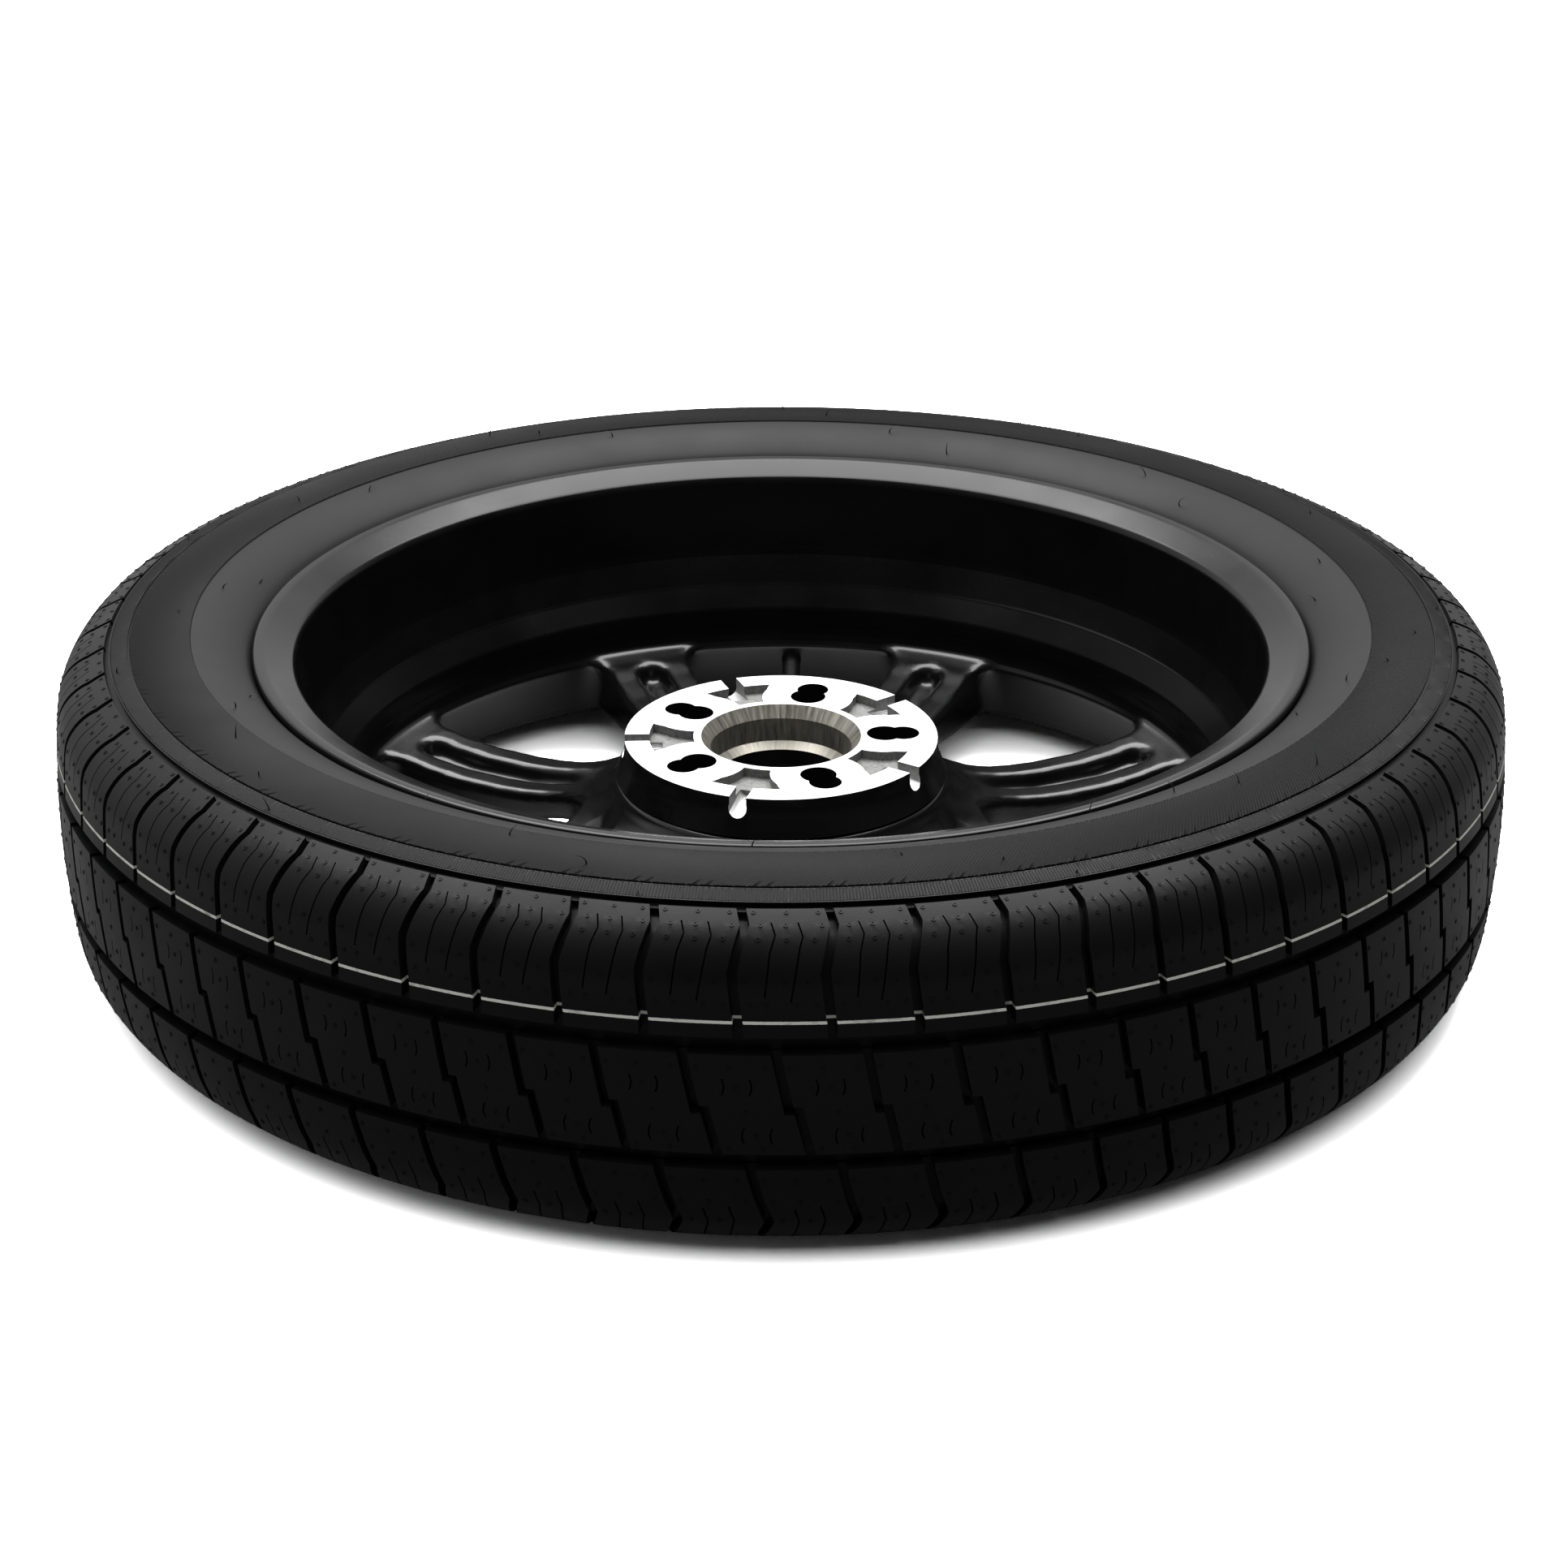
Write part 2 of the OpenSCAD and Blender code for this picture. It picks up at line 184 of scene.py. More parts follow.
# Materials
def material(name, colour=(0.5, 0.5, 0.5), roughness=0.5, metallic=0.0, specular=0.5):
    mat = bpy.data.materials.new(name)
    mat.use_nodes = True
    tree = mat.node_tree
    shader = tree.nodes["Principled BSDF"]
    shader.inputs["Base Color"].default_value = (*colour, 1.0)
    shader.inputs["Roughness"].default_value = roughness
    shader.inputs["Metallic"].default_value = metallic
    shader.inputs["Specular IOR Level"].default_value = specular
    return mat, tree, shader


def add_node(tree, kind, inputs=(), **settings):
    """A shader node with its settings, whose inputs are values or the outputs of other nodes."""
    made = tree.nodes.new("ShaderNode" + kind)
    for key, value in settings.items():
        setattr(made, key, value)
    for key, value in dict(inputs).items():
        if isinstance(value, bpy.types.NodeSocket):
            tree.links.new(value, made.inputs[key])
        else:
            made.inputs[key].default_value = value
    return made


def math_node(tree, operation, a, b=0.0, c=0.0):
    inputs = {0: a, 1: b, 2: c}
    return add_node(tree, "Math", inputs, operation=operation).outputs[0]


def noise(tree, scale, detail, place):
    inputs = {"Scale": scale, "Detail": detail, "Vector": place}
    return add_node(tree, "TexNoise", inputs).outputs[0]


def ramp(tree, value, low, high, out_low=0.0, out_high=1.0):
    inputs = {"Value": value, "From Min": low, "From Max": high, "To Min": out_low, "To Max": out_high}
    return add_node(tree, "MapRange", inputs).outputs[0]


def mix_colour(tree, factor, a, b):
    mix = add_node(tree, "Mix", data_type="RGBA")
    for socket, value in ((mix.inputs[0], factor), (mix.inputs[6], a), (mix.inputs[7], b)):
        if isinstance(value, bpy.types.NodeSocket):
            tree.links.new(value, socket)
        else:
            socket.default_value = value
    return mix.outputs[2]


def grey(level):
    return (level, level, level, 1.0)


def both(tree, a, b):
    """1 where both tests are 1."""
    return math_node(tree, "MULTIPLY", a, b)


def above(tree, value, limit_mm):
    return math_node(tree, "GREATER_THAN", value, limit_mm * MM)


def below(tree, value, limit_mm):
    return math_node(tree, "LESS_THAN", value, limit_mm * MM)


def object_place(tree):
    return add_node(tree, "TexCoord").outputs["Object"]


def cylinder_place(tree):
    """Place of the shaded point in the piece's own coordinates, its radius and its height, in metres."""
    place = object_place(tree)
    split = add_node(tree, "SeparateXYZ", {0: place})
    x, y, z = split.outputs
    squares = math_node(tree, "ADD", math_node(tree, "MULTIPLY", x, x), math_node(tree, "MULTIPLY", y, y))
    return place, math_node(tree, "SQRT", squares), z


def wire(tree, shader, colour, roughness, gloss=None):
    """Links the changing parts of a finish to its shader."""
    for name, value in (("Base Color", colour), ("Roughness", roughness), ("Specular IOR Level", gloss)):
        if value is not None:
            tree.links.new(value, shader.inputs[name])


def bump(tree, shader, height, distance, strength):
    made = add_node(tree, "Bump", {"Height": height, "Distance": distance, "Strength": strength})
    tree.links.new(made.outputs[0], shader.inputs["Normal"])


RUBBER_SHADES = ((0.0022, 0.0022, 0.0023, 1), (0.0048, 0.0048, 0.005, 1))
RUBBER_ROUGHNESS = (0.40, 0.52)
LINE_SHADE = (0.5, 0.5, 0.47, 1)
LINE_RAG_M = 0.0003
# The rubber's gloss grows from the tread's middle outwards, between these heights in metres
GLOSS_SPAN_M = (0.040, 0.074)
RUBBER_GLOSS = (0.065, 0.125)
HATCH_DULLING = -0.6


def rubber_material():
    """Dull black rubber with a thin worn line round the tread and a duller hatched band."""
    mat, tree, shader = material("tyre_rubber", roughness=0.45, specular=0.12)
    place, radius, z = cylinder_place(tree)
    cloud = noise(tree, 14.0, 5.0, place)
    fine = noise(tree, 900.0, 2.0, place)
    base = mix_colour(tree, cloud, *RUBBER_SHADES)
    beside = math_node(tree, "ABSOLUTE", math_node(tree, "SUBTRACT", z, LINE_Z * MM))
    ragged = math_node(tree, "MULTIPLY_ADD", fine, LINE_RAG_M, LINE_HALF_W * MM - LINE_RAG_M / 2)
    on_line = math_node(tree, "LESS_THAN", beside, ragged)
    line = both(tree, on_line, above(tree, radius, LINE_MIN_R))
    worn = ramp(tree, noise(tree, 160.0, 3.0, place), 0.25, 0.45, 0.45, 1.0)
    line = math_node(tree, "MULTIPLY", line, worn)
    colour = mix_colour(tree, line, base, LINE_SHADE)
    off_middle = math_node(tree, "ABSOLUTE", math_node(tree, "SUBTRACT", z, MID_Z * MM))
    gloss = ramp(tree, off_middle, *GLOSS_SPAN_M, *RUBBER_GLOSS)
    hatched = both(tree, above(tree, radius, HATCH_R[0]), below(tree, radius, HATCH_R[1]))
    gloss = math_node(tree, "MULTIPLY", gloss, math_node(tree, "MULTIPLY_ADD", hatched, HATCH_DULLING, 1.0))
    wire(tree, shader, colour, ramp(tree, cloud, 0.3, 0.7, *RUBBER_ROUGHNESS), gloss)
    bump(tree, shader, fine, 0.00006, 0.6)
    return mat


RUBBER = rubber_material()


# Plane figures in the unrolled tread, as lists of (u, s): u runs round the tyre and s across it
def densify(points, step):
    """The same open path with no two points further apart than step."""
    out = []
    for p, q in zip(points, points[1:]):
        n = max(1, int(math.ceil(math.dist(p, q) / step)))
        out += [(p[0] + (q[0] - p[0]) * i / n, p[1] + (q[1] - p[1]) * i / n) for i in range(n)]
    return out + [points[-1]]


def across(path, s):
    """The u of a path, listed from low to high s, where it has the arc length s."""
    return float(np.interp(s, [p[1] for p in path], [p[0] for p in path]))


def ribbon(path, widths):
    """Outline of a cut along a path, with its widths measured along u."""
    path = densify(path, 3.0)
    wide = np.interp(range(len(path)), np.linspace(0, len(path) - 1, len(widths)), widths)
    left = [(u - w / 2, s) for (u, s), w in zip(path, wide)]
    right = [(u + w / 2, s) for (u, s), w in zip(path, wide)]
    return left + right[::-1]


def bracket(u, low, high, bulge):
    """A short curved sipe from (u, low) to (u, high)."""
    return [(u + bulge * math.sin(math.pi * k / 4), low + (high - low) * k / 4) for k in range(5)]


def turns_left(outline):
    return sum(a[0] * b[1] - b[0] * a[1] for a, b in zip(outline, outline[1:] + outline[:1])) > 0


def circle(centre, radius, count):
    return [(centre[0] + radius * math.cos(2 * math.pi * k / count),
             centre[1] + radius * math.sin(2 * math.pi * k / count)) for k in range(count)]


def block_cell(seam, bands, grooves, sipes, nubs, spacing=4.0):
    """One block with its lateral groove, as triangles with a height for each.

    seam is the path where the block joins its neighbour, from the strip's low end to its high end, and
    bands are the parts of the grooves that run round the tyre, as (low, high, height).
    """
    low, high = seam[0][1], seam[-1][1]
    stops = sorted({p[1] for p in seam} | {s for band in bands for s in band[:2]})
    side = densify([(across(seam, s), s) for s in stops], SIDE_STEP)
    shifted = [(u + PITCH_MM, s) for u, s in side]
    shift = PITCH_MM / COLUMNS
    bottom = [(side[0][0] + shift * k, low) for k in range(COLUMNS)]
    top = [(side[-1][0] + shift * k, high) for k in range(COLUMNS, 0, -1)]
    figures = [(bottom + shifted[:-1] + top + side[:0:-1], 0.0)]
    for nub in nubs:
        figures += [(circle(nub, NUB_R, 8), NUB_H), (circle(nub, NUB_DENT_R, 5), NUB_DENT_H)]
    figures += [(ribbon(sipe, [SIPE_W]), -SIPE_DEPTH) for sipe in sipes]
    figures += [(ribbon(path, widths), -LATERAL_DEPTH) for path, widths in grooves]
    for band_low, band_high, height in bands:
        left = [p for p in side if band_low - 1e-9 <= p[1] <= band_high + 1e-9]
        right = [(u + PITCH_MM, s) for u, s in left]
        low_edge = densify([left[0], right[0]], shift + 1e-6)
        high_edge = densify([right[-1], left[-1]], shift + 1e-6)
        figures.append((low_edge[:-1] + right[:-1] + high_edge[:-1] + left[:0:-1], height))
    points, faces, heights = [], [], []
    for outline, height in figures:
        around = list(range(len(points), len(points) + len(outline)))
        faces.append(around if turns_left(outline) else around[::-1])
        points += outline
        heights.append(height)
    fixed = np.array(points)
    rows = np.arange(low + spacing / 2, high, spacing)
    steps = int(PITCH_MM / spacing)
    grid = [(across(seam, s) + PITCH_MM * (k + 0.5) / steps, s) for s in rows for k in range(steps)]
    near = np.array([np.min(np.hypot(*(fixed - np.array(g)).T)) for g in grid])
    points += [g for g, d in zip(grid, near) if d > 0.35 * spacing]
    corners = [Vector(p) for p in points]
    inside_only, tolerance = 1, 1e-4
    verts, _, tris, _, _, origins = delaunay_2d_cdt(corners, [], faces, inside_only, tolerance, True)
    flat = np.array([(v.x, v.y) for v in verts])
    keep = [(t, heights[max(o)]) for t, o in zip(tris, origins) if len(t) == 3 and o]
    return side, flat, [k[0] for k in keep], [k[1] for k in keep]


def terrace(flat, tris, heights):
    """Points with a height each, and faces with walls where the height changes."""
    keys, faces = {}, []

    def corner(v, h):
        return keys.setdefault((int(v), float(h)), len(keys))
    edge_of = {}
    for (a, b, c), h in zip(tris, heights):
        (ax, ay), (bx, by), (cx, cy) = flat[a], flat[b], flat[c]
        if (bx - ax) * (cy - ay) - (by - ay) * (cx - ax) < 0:
            b, c = c, b
        faces.append(tuple(corner(v, h) for v in (a, b, c)))
        for p, q in ((a, b), (b, c), (c, a)):
            edge_of[(int(p), int(q))] = h
    for (p, q), h in edge_of.items():
        other = edge_of.get((q, p))
        if other is not None and other < h:
            faces.append((corner(q, h), corner(p, h), corner(p, other), corner(q, other)))
    points = sorted(keys, key=keys.get)
    return flat[[v for v, h in points]], np.array([h for v, h in points]), faces


def tread_strip(name, phase, seam, bands, grooves, sipes, nubs):
    """A closed ring of tread: one block repeated round the tyre with its pitches, and a plain inside."""
    side, flat, tris, heights = block_cell(seam, bands, grooves, sipes, nubs)
    points, level, faces = terrace(flat, tris, heights)
    low, high = seam[0][1], seam[-1][1]
    place = {(round(u, 3), round(s, 3), h): i for i, ((u, s), h) in enumerate(zip(points, level))}
    count = len(points)
    right = {}
    for u, s in side:
        for h in set(level):
            there = place.get((round(u + PITCH_MM, 3), round(s, 3), h))
            here = place.get((round(u, 3), round(s, 3), h))
            if there is not None and here is not None:
                right[there] = here
    rows = []
    for end in (low, high):
        row = [i for i, (u, s) in enumerate(points) if abs(s - end) < 1e-3]
        rows.append(sorted(row, key=lambda i: points[i][0]))
    inner = []
    for row in rows:
        inner.append(list(range(count, count + len(row))))
        points = np.vstack([points, points[row]])
        level = np.concatenate([level, [INNER_H] * len(row)])
        right[count + len(row) - 1] = count
        count += len(row)
    for (row, inside), flip in zip(zip(rows, inner), (False, True)):
        for i in range(len(row) - 1):
            quad = (row[i + 1], row[i], inside[i], inside[i + 1])
            faces.append(quad[::-1] if flip else quad)
    for i in range(len(inner[0]) - 1):
        faces.append((inner[0][i], inner[1][i], inner[1][i + 1], inner[0][i + 1]))
    keep = np.array([i for i in range(count) if i not in right])
    slot_of = np.full(count, -1)
    slot_of[keep] = np.arange(len(keep))
    all_vertices, all_faces = [], []
    for k in range(BLOCKS):
        radius, height = on_tyre(points[keep, 1], level[keep])
        all_vertices.append(to_xyz(radius, tread_angle(points[keep, 0] + phase + k * PITCH_MM), height))
        after = (k + 1) % BLOCKS
        for face in faces:
            all_faces.append([after * len(keep) + slot_of[right[i]] if i in right
                              else k * len(keep) + slot_of[i] for i in face])
    piece = make_object(name, np.vstack(all_vertices), all_faces, RUBBER, 30.0)
    stand_for(piece, "tyre")


UPPER_GROOVE = [(0, 30), (0, 39), (-0.3, 40.5), (-1.7, 51), (-2.8, 61.7), (-0.95, 70.3), (2.2, 84),
                (0.1, 93.2), (0.1, 94.5)]
UPPER_SEAM = [(u - SEAM_SHIFT, s) for u, s in [(0, BAND_MID)] + UPPER_GROOVE[1:-1] + [(0.1, STRIP_END)]]
UPPER_SIPES = [[(14.0, 85.5), (16.0, 78.7), (13.6, 70.3), (11.6, 51)],
               [(26.2, 85.5), (28.3, 78), (26.8, 72.8), (22.8, 49)]]
UPPER_NUBS = [(u, s) for s, row in ((91, (5.8, 21, 35.6)), (83.8, (9.3, 20.7, 37.1)),
                                    (76.7, (8.4, 21, 33.4)), (58, (3, 20, 30)),
                                    (47.5, (5, 12.5, 25.5, 34.4))) for u in row]
LOWER_GROOVE = [(0, -90), (2.3, -80), (4.9, -71), (8, -61.5), (7.2, -58.5), (3.9, -49.2), (0.5, -36),
                (0, -32.5), (0, -30)]
LOWER_SEAM = [(u - SEAM_SHIFT, s)
              for u, s in [(0, -STRIP_END), (0, -TREAD_END)] + LOWER_GROOVE[:-1] + [(0, -BAND_MID)]]
LOWER_SIPES = [[(19.4, -53.6), (21.4, -61.5), (17.9, -80)], [(30.7, -52), (33.1, -60), (30, -80)]]
LOWER_NUBS = [(u, s) for s, row in ((-38.5, (5.3, 20, 34.6)), (-50, (9.5, 22, 38.6)), (-61, (14, 26.4)))
              for u in row]
CENTRE_GROOVES = [[(0, 26), (0, 24.5), (6.0, -4.5)], [(9.4, -0.5), (15.2, -24.5), (15.2, -26)]]
CENTRE_SEAM = [(11.7, -BAND_MID), (11.7, -RIB_END), (6.9, -6.2), (2.6, -5.4), (-SEAM_SHIFT, RIB_END),
               (-SEAM_SHIFT, BAND_MID)]
CENTRE_SIPES = [bracket(17.2, 5, 13, 1), bracket(29.2, 5, 13, 1),
                bracket(26.9, -19, -11, -1), bracket(39.2, -19, -11, -1)]
CENTRE_NUBS = [(23.2, 9), (32.2, -15), (27.4, -3.6), (20, -22), (35, -22), (5.9, 18), (20.2, 18),
               (35.9, 18)]

tread_strip("tread_upper", 0.0, UPPER_SEAM,
            [(BAND_MID, OUTER_RIB, -GROOVE_DEPTH), (TREAD_END, STRIP_END, -SHOULDER_GROOVE_DEPTH)],
            [(UPPER_GROOVE, [GROOVE_W])], UPPER_SIPES, UPPER_NUBS)
tread_strip("tread_centre", CENTRE_PHASE, CENTRE_SEAM,
            [(-BAND_MID, -RIB_END, -GROOVE_DEPTH), (RIB_END, BAND_MID, -GROOVE_DEPTH)],
            [(path, [GROOVE_W]) for path in CENTRE_GROOVES], CENTRE_SIPES, CENTRE_NUBS)
tread_strip("tread_lower", LOWER_PHASE, LOWER_SEAM,
            [(-STRIP_END, -TREAD_END, -SHOULDER_GROOVE_DEPTH), (-OUTER_RIB, -BAND_MID, -GROOVE_DEPTH)],
            [(LOWER_GROOVE, [1.0, GROOVE_W, GROOVE_W, GROOVE_W])], LOWER_SIPES, LOWER_NUBS)

# Sidewalls: rings of points at arc lengths from the crown, with heights over the surface
RING_COUNT = 720
COARSE_COUNT = 504
SHOULDER_RINGS = ((94.9, -2.4, COARSE_COUNT), (96.3, -2.4, COARSE_COUNT), (96.5, 0.4, RING_COUNT),
                  (97.0, 0.4, RING_COUNT))
BANDS_START = 97.2
RIB_RINGS = (97.5, 101.5, 105.3)
RIB_COUNT = 1500
RIB_H = 0.35
GUTTER_RINGS = ((105.6, 0), (105.9, 0), (106.0, -0.8), (106.8, -0.8), (106.95, 0))
HATCH_RINGS = (107.2, 137.7, 9)
HATCH_COUNT = 1117
HATCH_H = 0.28
HATCH_CREST = 0.3
HATCH_SLANT = 39.0
WALL_RINGS = ((138.0, 0), (138.3, -0.5), (143, -0.5), (148, -0.4), (153, -0.3), (158, -0.2), (163, 0),
              (166, 0), (169.1, 0))
BEAD_RINGS = [(272.6, 155.75), (269.2, 152.3), (264.4, 151.0), (259.5, 149.5), (257.6, 145), (256.5, 131.5),
              (263, 124), (283, 152)]
INNER_RINGS = (150, 135, 120, 107, 94.9)
PLAIN_DROP = -0.15


def free_ring(radius, height, count=RING_COUNT):
    return to_xyz(radius, np.arange(count) * 360 / count, height)


def plain_ring(s, h, count=RING_COUNT):
    return free_ring(*on_tyre(s, h), count)


def wave_ring(s, h, count, shift=0.0, crest=0.5):
    """A ring of low and high points in turn; crest is where a high one lies between two low ones."""
    numbers = np.arange(2 * count)
    steps = (numbers // 2 + np.where(numbers % 2, crest, 0.0)) * 360 / count
    heights = np.where(numbers % 2, h, 0.0)
    radius, height = on_tyre(np.full(2 * count, s), heights)
    return to_xyz(radius, steps + shift, height)


def hatch_rings(side):
    """Rings across the hatched band; its lines lean by HATCH_SLANT from the radius."""
    rings, shift, last = [], 0.0, None
    for s in np.linspace(*HATCH_RINGS):
        radius = float(on_tyre(s, 0)[0])
        if last is not None:
            shift += math.degrees(abs(last - radius) * math.tan(math.radians(HATCH_SLANT)) / radius)
        last = radius
        rings.append(wave_ring(side * s, HATCH_H, HATCH_COUNT, shift, HATCH_CREST))
    return rings


def zip_rings(first, second, start_a, start_b):
    """Faces between two rings with any numbers of points, walking round both by angle."""
    n, m = len(first), len(second)
    if n == m:
        return [(start_a + i, start_a + (i + 1) % n, start_b + (i + 1) % n, start_b + i) for i in range(n)]
    angle_a = np.unwrap(np.arctan2(first[:, 1], first[:, 0]))
    angle_b = np.unwrap(np.arctan2(second[:, 1], second[:, 0]))
    full = 2 * math.pi
    j0 = int(np.argmin(np.abs((angle_b - angle_a[0] + math.pi) % full - math.pi)))
    angle_b = np.concatenate([angle_b[j0:], angle_b[:j0] + full])
    angle_b += round((angle_a[0] - angle_b[0]) / full) * full
    faces, i, j = [], 0, 0
    while i < n or j < m:
        next_a = angle_a[i + 1] if i + 1 < n else angle_a[0] + full
        next_b = angle_b[j + 1] if j + 1 < m else angle_b[0] + full
        a, b = start_a + i % n, start_b + (j0 + j) % m
        if j >= m or (i < n and next_a <= next_b):
            faces.append((a, start_a + (i + 1) % n, b))
            i += 1
        else:
            faces.append((a, start_b + (j0 + j + 1) % m, b))
            j += 1
    return faces


def ring_skin(name, rings, sharp, flip=False, made_of=RUBBER):
    """A closed skin through rings that follow each other round a section."""
    starts = np.concatenate([[0], np.cumsum([len(r) for r in rings])])
    faces = []
    for i in range(len(rings)):
        j = (i + 1) % len(rings)
        faces += zip_rings(rings[i], rings[j], int(starts[i]), int(starts[j]))
    if flip:
        faces = [f[::-1] for f in faces]
    return make_object(name, np.vstack(rings), faces, made_of, sharp)


def sidewall(name, side):
    """A sidewall; the upper one (side 1) has a ribbed and a hatched band, the lower one (-1) is plain."""
    drop = 0.0 if side > 0 else PLAIN_DROP
    rings = [plain_ring(side * s, h, n) for s, h, n in SHOULDER_RINGS]
    rings.append(plain_ring(side * BANDS_START, drop))
    rings += [wave_ring(side * s, RIB_H if side > 0 else 0.0, RIB_COUNT) for s in RIB_RINGS]
    rings += [plain_ring(side * s, h) for s, h in GUTTER_RINGS]
    if side > 0:
        rings += hatch_rings(side)
    else:
        rings += [plain_ring(side * s, drop) for s in np.linspace(*HATCH_RINGS)]
    rings += [plain_ring(side * s, h) for s, h in WALL_RINGS]
    rings += [free_ring(r, z if side > 0 else 2 * MID_Z - z) for r, z in BEAD_RINGS]
    rings += [plain_ring(side * s, INNER_H, COARSE_COUNT) for s in INNER_RINGS]
    stand_for(ring_skin(name, rings, 28.0, flip=side < 0), "tyre")


sidewall("sidewall_upper", 1)
sidewall("sidewall_lower", -1)


# Vent hairs: rows as arc lengths from the crown, and the spread of their leans and lengths
HAIR_COUNT = 46
HAIR_ROWS = (100.5, 116.0, 129.0, 146.0, 160.0)
HAIR_LEANS = (0.5, 1.4)
HAIR_LENGTHS = (4.0, 8.5)
HAIR_R = 0.42
HAIR_TAPER = 0.25
HAIR_FOOT_H = -0.3
GOLDEN_SHARE = 0.618034
HAIR_STEPS = 4
HAIR_SIDES = 4


def vent_hairs():
    """Thin bent hairs that the mould's vents leave on the upper sidewall."""
    chance = np.random.default_rng(11)
    points, faces = [], []
    for k in range(HAIR_COUNT):
        turn = 360 * (k * GOLDEN_SHARE % 1)
        s = HAIR_ROWS[k % len(HAIR_ROWS)] + chance.uniform(-1, 1)
        ends = [on_tyre(s, h) for h in (HAIR_FOOT_H, HAIR_FOOT_H + 1)]
        foot, unit_over = [to_xyz(radius, turn, height) for radius, height in ends]
        normal = unit_over - foot
        along = np.array([-math.sin(math.radians(turn)), math.cos(math.radians(turn)), 0.0])
        beside = np.cross(normal, along)
        way = chance.uniform(0, 2 * math.pi)
        lean, length = chance.uniform(*HAIR_LEANS), chance.uniform(*HAIR_LENGTHS)
        side = math.cos(way) * along + math.sin(way) * beside
        start = len(points)
        for t in np.linspace(0, 1, HAIR_STEPS + 1):
            middle = foot + length * t * (math.cos(lean * t) * normal + math.sin(lean * t) * side)
            thick = HAIR_R - HAIR_TAPER * t
            for q in range(HAIR_SIDES):
                a = 2 * math.pi / HAIR_SIDES * q
                points.append(middle + thick * (math.cos(a) * along + math.sin(a) * beside))
        for step in range(HAIR_STEPS):
            low = start + HAIR_SIDES * step
            high = low + HAIR_SIDES
            for q in range(HAIR_SIDES):
                after = (q + 1) % HAIR_SIDES
                faces.append((low + q, low + after, high + after, high + q))
        faces.append(tuple(start + q for q in reversed(range(HAIR_SIDES))))
        faces.append(tuple(start + HAIR_STEPS * HAIR_SIDES + q for q in range(HAIR_SIDES)))
    hairs = make_object("vent_hairs", points, [f[::-1] for f in faces], RUBBER, 60.0)
    stand_for(hairs, "tyre")


vent_hairs()


# Wheel: turned rim, cast disc from a distance field, and machined hub from the CAD node's own mesh
SECTORS = 8
HALF_SECTOR = 180 / SECTORS
# Spokes, of which the middle of one stands at the angle SPOKE_TURN, and their rounded edges
SPOKE_TURN = 21.0
SPOKE_HALF = 25.0
SPOKE_EDGE_R = 4.5
# Groove along the back of each spoke; its floor is distances along the spoke, then their heights
GROOVE_HALF = 7.5
GROOVE_FAR = 209.5
GROOVE_FLOOR = ((86, 92, 99, 106, 113, 130, 155, 190, GROOVE_FAR),
                (92, 75, 63.5, 56, 51, 43.5, 40.5, 41.5, 45.5))
GROOVE_FLATTEN = 0.95
GROOVE_FOOT_R = 6.0
GROOVE_EDGE_R = 5.0
# Windows between the spokes; their outer wall slants from WINDOW_TOP down to WINDOW_FOOT
WINDOW_IN = 107.0
WINDOW_END_R = 20.0
WINDOW_CORNER_R = 14.0
WINDOW_TOP = (230.0, 57.0)
WINDOW_FOOT = (252.0, 21.5)
# Upright wall under the barrel; beyond RIM_SIDE_R the disc stops at the wall's top
WALL_R = 233.0
WALL_TOP = 71.0
WALL_LEAN = 0.2
DISC_TOP = 74.0
RIM_SIDE_R = 150.0
# Joint between the disc and the hub piece, where the disc sinks a little under the hub
HUB_R = 88.1
HUB_TOP = 78.0
HUB_GAP = 0.4
DISC_IN_R = 82.5
JOINT_R = 91.0
JOINT_SINK = 0.25
# A distance deep inside the metal, which never decides
DEEP = -9.0
BEAD_TOP = [(254.7, 131.5), (256.4, 144.5), (262.9, 151.0), (264.4, 151.0)]


def mirrored(points):
    return [(r, 2 * MID_Z - z) for r, z in points[::-1]]


def arc_points(centre, radius, start, end, count):
    return [(centre[0] + radius * math.cos(math.radians(start + (end - start) * k / count)),
             centre[1] + radius * math.sin(math.radians(start + (end - start) * k / count)))
            for k in range(count + 1)]


LIP_ARC = arc_points((264.4, 160.5), 9.5, -90, 0, 9)
LIP_TOP = [(273.4, 162.2), (271.9, 162.8), (268.0, 162.4), (253.5, 156.3), (252.0, 153.5)]
BARREL = [(248.5, 113.0), (243.3, 92.5), (WALL_R, 81.0), (WALL_R, 60.0), WINDOW_TOP, WINDOW_FOOT]
WELL = [(251.8, 49.15), (238.5, 62.0), (238.5, 82.0), (249.5, 93.0), (254.0, 112.5)]
RIM_LOOP = (BEAD_TOP[:-1] + LIP_ARC + LIP_TOP + BARREL + mirrored(LIP_TOP) + mirrored(LIP_ARC)
            + mirrored(BEAD_TOP[:-1]) + WELL)
DISC_LOOP = [(60, 46), (60, 99), (83, 99), (83, 95), (84.5, 88), (86, 83), (87.8, 78.6), (90, 74.5),
             (93, 70.4), (97, 66), (102, 61.8), (110, 57.6), (120, 54), (132, 51.4), (145, 50), (160, 49.6),
             (185, 50.7), (205, 53.6), (216, 56.4), (225, 58), (235, 58), (235, 55), (253, 24), WINDOW_FOOT,
             (200, 25), (140, 33), (100, 42), (84, 46)]
# Soft join of the rim's and the disc's sections, and their table of distances over radius and height
BLEND_REACH = 9.0
BLUR_STEPS = 2.2
TABLE_STEP = 0.5
TABLE_LOW = (80.0, 0.0)
TABLE_SIZE = (410, 180)


